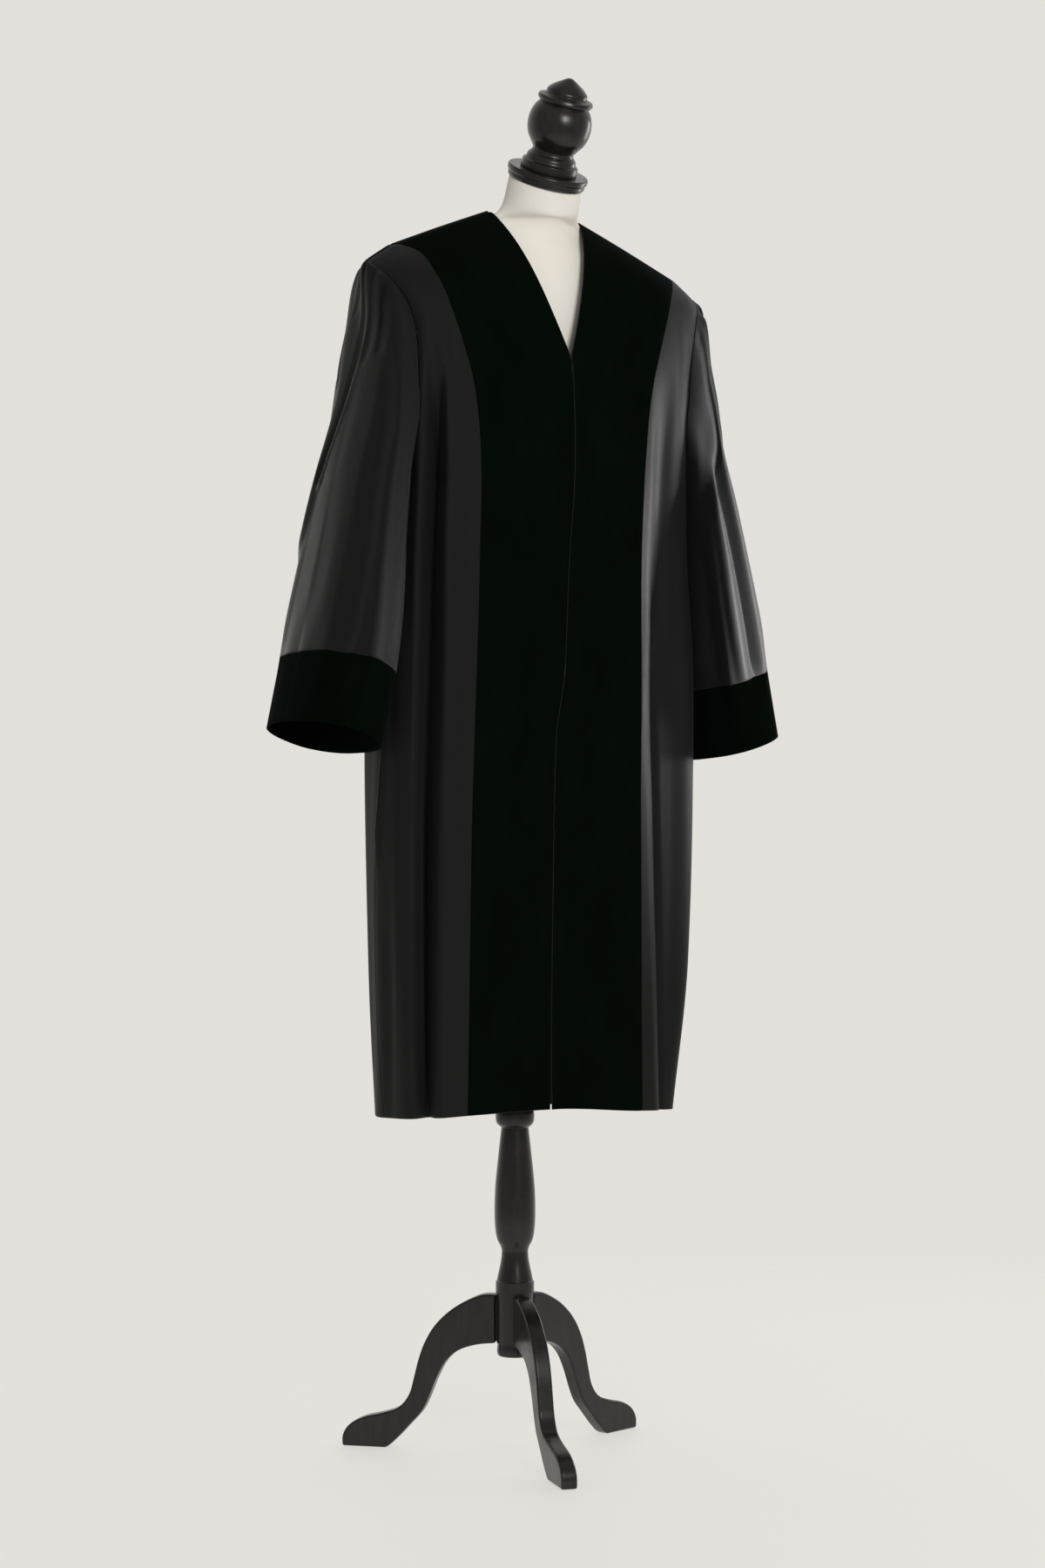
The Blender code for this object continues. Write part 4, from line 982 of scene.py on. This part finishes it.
class Nodes:
    """The nodes of a material or a world, joined by short calls."""

    def __init__(self, owner, shader="Principled BSDF", **values):
        owner.use_nodes = True
        self.tree = owner.node_tree
        self.shader = self.tree.nodes[shader]
        for key, value in values.items():
            self.shader.inputs[key.replace("_", " ")].default_value = value

    def add(self, kind, **values):
        node = self.tree.nodes.new(kind)
        for key, value in values.items():
            if key in node.inputs:
                node.inputs[key].default_value = value
            else:
                setattr(node, key, value)
        return node

    def join(self, output, socket):
        self.tree.links.new(output, socket)

    def feed(self, name, output):
        """Let a texture set one of the shader's values."""
        self.join(output, self.shader.inputs[name])

    def stretched(self, place, scale):
        mapping = self.add("ShaderNodeMapping")
        mapping.inputs["Scale"].default_value = scale
        self.join(place, mapping.inputs["Vector"])
        return mapping.outputs["Vector"]

    def cut_place(self, across, along):
        """Coordinates on the cut cloth, in metres, with their own scales."""
        place = self.add("ShaderNodeUVMap", uv_map="cut")
        return self.stretched(place.outputs["UV"], (across, along, 1))

    def object_place(self):
        return self.add("ShaderNodeTexCoord").outputs["Object"]

    def noise(self, place, scale=1.0, detail=2.0, roughness=0.5):
        texture = self.add("ShaderNodeTexNoise", Scale=scale, Detail=detail, Roughness=roughness)
        self.join(place, texture.inputs["Vector"])
        return texture.outputs["Fac"]

    def ramp(self, source, low, high, tones):
        """A soft change between two colours or values of a texture."""
        ramp = self.add("ShaderNodeValToRGB")
        for element, position, tone in zip(ramp.color_ramp.elements, (low, high), tones):
            element.position = position
            element.color = (*tone, 1)
        self.join(source, ramp.inputs["Fac"])
        return ramp.outputs["Color"]

    def bump(self, source, strength, distance, below=None):
        bump = self.add("ShaderNodeBump", Strength=strength, Distance=distance)
        self.join(source, bump.inputs["Height"])
        if below is not None:
            self.join(below, bump.inputs["Normal"])
        return bump.outputs["Normal"]


def wool_material():
    """Fine black wool: a close diagonal weave, uneven yarns and a low sheen."""
    material = bpy.data.materials.new("fine_black_wool")
    nodes = Nodes(material, Roughness=0.60, Specular_IOR_Level=0.11, Sheen_Weight=0.04, Sheen_Roughness=0.45,
                  Sheen_Tint=(0.86, 0.90, 1.0, 1))
    yarn = nodes.noise(nodes.cut_place(across=1500, along=260), detail=3.0, roughness=0.6)
    nodes.feed("Base Color", nodes.ramp(yarn, 0.30, 0.72, WOOL_TONES))
    twill = nodes.add("ShaderNodeTexWave", wave_type="BANDS", bands_direction="DIAGONAL", Scale=1.0,
                      Distortion=0.6, Detail=1.0)
    nodes.join(nodes.cut_place(across=260, along=260), twill.inputs["Vector"])
    weave = nodes.bump(twill.outputs["Fac"], 0.20, 0.0003)
    nodes.feed("Normal", nodes.bump(yarn, 0.25, 0.0003, weave))
    return material


def velvet_material():
    """Black-green velvet: a pile that swallows light, with faint brushed patches."""
    material = bpy.data.materials.new("black_velvet")
    nodes = Nodes(material, Roughness=0.95, Specular_IOR_Level=0.02, Sheen_Weight=0.012,
                  Sheen_Roughness=0.30, Sheen_Tint=(0.80, 0.86, 1.0, 1))
    brushed = nodes.noise(nodes.cut_place(across=16, along=7), detail=4.0, roughness=0.65)
    nodes.feed("Base Color", nodes.ramp(brushed, 0.35, 0.70, VELVET_TONES))
    pile = nodes.noise(nodes.cut_place(across=1100, along=900), roughness=0.7)
    nodes.feed("Normal", nodes.bump(pile, 0.5, 0.0005))
    return material


def form_material():
    """Cream cotton jersey drawn over the form."""
    material = bpy.data.materials.new("cream_form_cloth")
    nodes = Nodes(material, Roughness=0.95, Specular_IOR_Level=0.04, Sheen_Weight=0.06,
                  Sheen_Roughness=0.5)
    place = nodes.object_place()
    tone = nodes.noise(place, scale=9.0, detail=3.0)
    nodes.feed("Base Color", nodes.ramp(tone, 0.3, 0.7, FORM_TONES))
    knit = nodes.noise(place, scale=900.0)
    nodes.feed("Normal", nodes.bump(knit, 0.3, 0.0004))
    return material


def lacquer_material():
    """Black lacquer on turned wood, with a trace of grain and of wear in its gloss."""
    material = bpy.data.materials.new("black_lacquer")
    nodes = Nodes(material, Specular_IOR_Level=0.42, Coat_Weight=0.08, Coat_Roughness=0.12)
    place = nodes.object_place()
    grain = nodes.noise(nodes.stretched(place, (1.0, 1.0, 0.12)), scale=170.0, detail=5.0, roughness=0.6)
    nodes.feed("Base Color", nodes.ramp(grain, 0.35, 0.70, LACQUER_TONES))
    wear = nodes.noise(place, scale=34.0, detail=4.0)
    nodes.feed("Roughness", nodes.ramp(wear, 0.35, 0.70, LACQUER_ROUGHNESS))
    nodes.feed("Normal", nodes.bump(grain, 0.10, 0.0003))
    return material


# The studio: the floor runs out between two distances, and the room is paler behind the stand
FLOOR_CLEAR = 0.9
FLOOR_END = 2.6
FLOOR_GLOW = 0.785
FLOOR_CORNERS = 96
FLOOR_DROP = 0.0004
ROOM_FADE = (-0.25, 0.80)
VIEW_TURN = radians(-30)
RIGHT = Vector((cos(VIEW_TURN), sin(VIEW_TURN), 0.0))
NEAR = Vector((sin(VIEW_TURN), -cos(VIEW_TURN), 0.0))

# The camera's place by its distances to the right, towards the viewer and up
CAMERA_PLACE = (0.00946, 3.5326, 0.736)
CAMERA_LENS = 65
CAMERA_SENSOR = 36
CAMERA_SHIFT = 0.05

# Softboxes, in the same order as their table, which gives places, aims, sizes, power and colour
SOFTBOX_NAMES = ("side_softbox", "low_softbox", "left_softbox", "key_softbox", "lift_softbox", "rim_softbox",
                 "front_softbox")
SOFTBOXES = table(
    "right near height aim_right aim_height width tall watts green blue spread",
    (2.08, -0.2, 1.16, 0.2, 1.09, 0.4, 0.4, 3, 0.965, 0.965, 24),
    (1.6, 0.9, 0.95, -0.2, 0.86, 0.4, 0.4, 1.6, 0.965, 0.965, 22),
    (-1.6, -2, 1.3, -0.3, 1.15, 0.4, 0.9, 1.5, 0.985, 0.97, 60),
    (1.5, 0.95, 1.16, 0.25, 1, 0.5, 0.6, 15, 0.965, 0.965, 36),
    (1.1, 2.9, 1.9, 0, 1.1, 0.9, 0.9, 27, 0.99, 0.98, 180),
    (2, -1.5, 1.6, 0, 1.1, 0.6, 1.2, 10, 0.975, 0.97, 180),
    (1.1, 2.9, 1.9, 0, 1.1, 0.9, 0.9, 26, 0.99, 0.98, 180),
)


def floor_material():
    """A pale studio floor that runs out softly into the backdrop."""
    material = bpy.data.materials.new("studio_floor")
    nodes = Nodes(material, Roughness=0.6, Base_Color=(*FLOOR_COLOUR, 1), Emission_Color=(*BACKDROP, 1),
                  Emission_Strength=FLOOR_GLOW, Specular_IOR_Level=0.25)
    reach = nodes.add("ShaderNodeVectorMath", operation="LENGTH")
    nodes.join(nodes.object_place(), reach.inputs[0])
    fade = nodes.add("ShaderNodeMapRange", interpolation_type="SMOOTHSTEP",
                     **{"From Min": FLOOR_CLEAR, "From Max": FLOOR_END, "To Min": 1.0, "To Max": 0.0})
    nodes.join(reach.outputs["Value"], fade.inputs["Value"])
    nodes.feed("Alpha", fade.outputs["Result"])
    return material


def studio_place(right, near, height):
    """A place by its distances to the camera's right, towards it and up, from the stand."""
    return AXIS + RIGHT * right + NEAR * near + Vector((0, 0, height))


def floor():
    """A round floor just below the feet."""
    data = bpy.data.meshes.new("floor")
    turn = np.linspace(0, 2 * pi, FLOOR_CORNERS, endpoint=False)
    rim = np.stack([FLOOR_END * np.cos(turn), FLOOR_END * np.sin(turn), 0 * turn], 1)
    data.from_pydata(rim.tolist(), [], [list(range(FLOOR_CORNERS))])
    data.materials.append(floor_material())
    disc = place_object("floor", data)
    disc.location = (AXIS.x, AXIS.y, -FLOOR_DROP)


def backdrop():
    """A room that is pale behind the stand and dimmer in front of it."""
    world = bpy.data.worlds.new("studio")
    nodes = Nodes(world, "Background")
    behind = nodes.add("ShaderNodeVectorMath", operation="DOT_PRODUCT")
    behind.inputs[1].default_value = -NEAR
    nodes.join(nodes.add("ShaderNodeTexCoord").outputs["Generated"], behind.inputs[0])
    fade = nodes.add("ShaderNodeMapRange", interpolation_type="SMOOTHSTEP",
                     **{"From Min": ROOM_FADE[0], "From Max": ROOM_FADE[1]})
    nodes.join(behind.outputs["Value"], fade.inputs["Value"])
    room = nodes.add("ShaderNodeMix", data_type="RGBA", A=(*FRONT_ROOM, 1), B=(*BACKDROP, 1))
    nodes.join(fade.outputs["Result"], room.inputs["Factor"])
    nodes.feed("Color", room.outputs["Result"])
    bpy.context.scene.world = world


def softboxes(reach):
    """The studio's lights; cards keep those named in reach off all but the pieces given there."""
    for name, box in zip(SOFTBOX_NAMES, rows_of(SOFTBOXES)):
        place = studio_place(box["right"], box["near"], box["height"])
        target = studio_place(box["aim_right"], 0.0, box["aim_height"])
        data = bpy.data.lights.new(name, "AREA")
        data.shape = "RECTANGLE"
        data.size, data.size_y = box["width"], box["tall"]
        data.energy = box["watts"]
        data.color = (1.0, box["green"], box["blue"])
        data.spread = radians(box["spread"])
        light = place_object(name, data)
        light.location = place
        light.rotation_euler = (target - place).to_track_quat("-Z", "Y").to_euler()
        if name in reach:
            reached = bpy.data.collections.new("reached_by_" + name)
            for piece in reach[name]:
                reached.objects.link(piece)
            light.light_linking.receiver_collection = reached


def camera():
    """The camera at the photograph's angle."""
    data = bpy.data.cameras.new("camera")
    data.lens = CAMERA_LENS
    data.sensor_width = CAMERA_SENSOR
    data.shift_y = CAMERA_SHIFT
    holder = place_object("camera", data)
    holder.location = studio_place(*CAMERA_PLACE)
    holder.rotation_euler = (pi / 2, 0, VIEW_TURN)
    bpy.context.scene.camera = holder
    bpy.context.scene.view_settings.view_transform = "Standard"


wool = wool_material()
velvet = velvet_material()
form_cloth = form_material()
lacquer = lacquer_material()


def stand_in(piece, node):
    """The piece takes a solid's place: the solid is hidden."""
    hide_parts(node)
    return piece


velvets = []
fronts = []
arms = []
for suffix, side in (("right", -1), ("left", 1)):
    band = stand_in(velvet_front("velvet_band_" + suffix, side, velvet, wool), "velvet_front_" + suffix)
    panel = stand_in(wool_front("wool_front_" + suffix, side, wool), "front_" + suffix)
    arm = stand_in(sleeve("wool_sleeve_" + suffix, side, wool), "sleeve_" + suffix)
    end = stand_in(cuff("velvet_cuff_" + suffix, side, velvet), "cuff_" + suffix)
    velvets += [band, end]
    fronts.append(panel)
    arms.append(arm)
back = stand_in(wool_back("wool_back", wool), "back")
collar = stand_in(yoke("velvet_yoke", velvet), "velvet_yoke_back")
form = stand_in(form_torso("dress_form", form_cloth), "form_torso")
plate = stand_in(turned("plate", NECK_PLATE, lacquer, PLATE_CENTRE, FINIAL_TILT), "neck_plate")
knob = stand_in(turned("turned_finial", FINIAL, lacquer, PLATE_CENTRE, FINIAL_TILT), "finial")
stand_in(turned("turned_column", COLUMN, lacquer), "column")
for leg_name, direction in LEG_DIRECTIONS.items():
    stand_in(leg("board_" + leg_name, direction, lacquer), leg_name)

right_arm, left_arm = arms
floor()
backdrop()
softboxes({
    "side_softbox": [fronts[1]],
    "low_softbox": [right_arm],
    "left_softbox": [right_arm],
    "key_softbox": [left_arm],
    "lift_softbox": velvets + [collar, form, plate, knob],
})
camera()
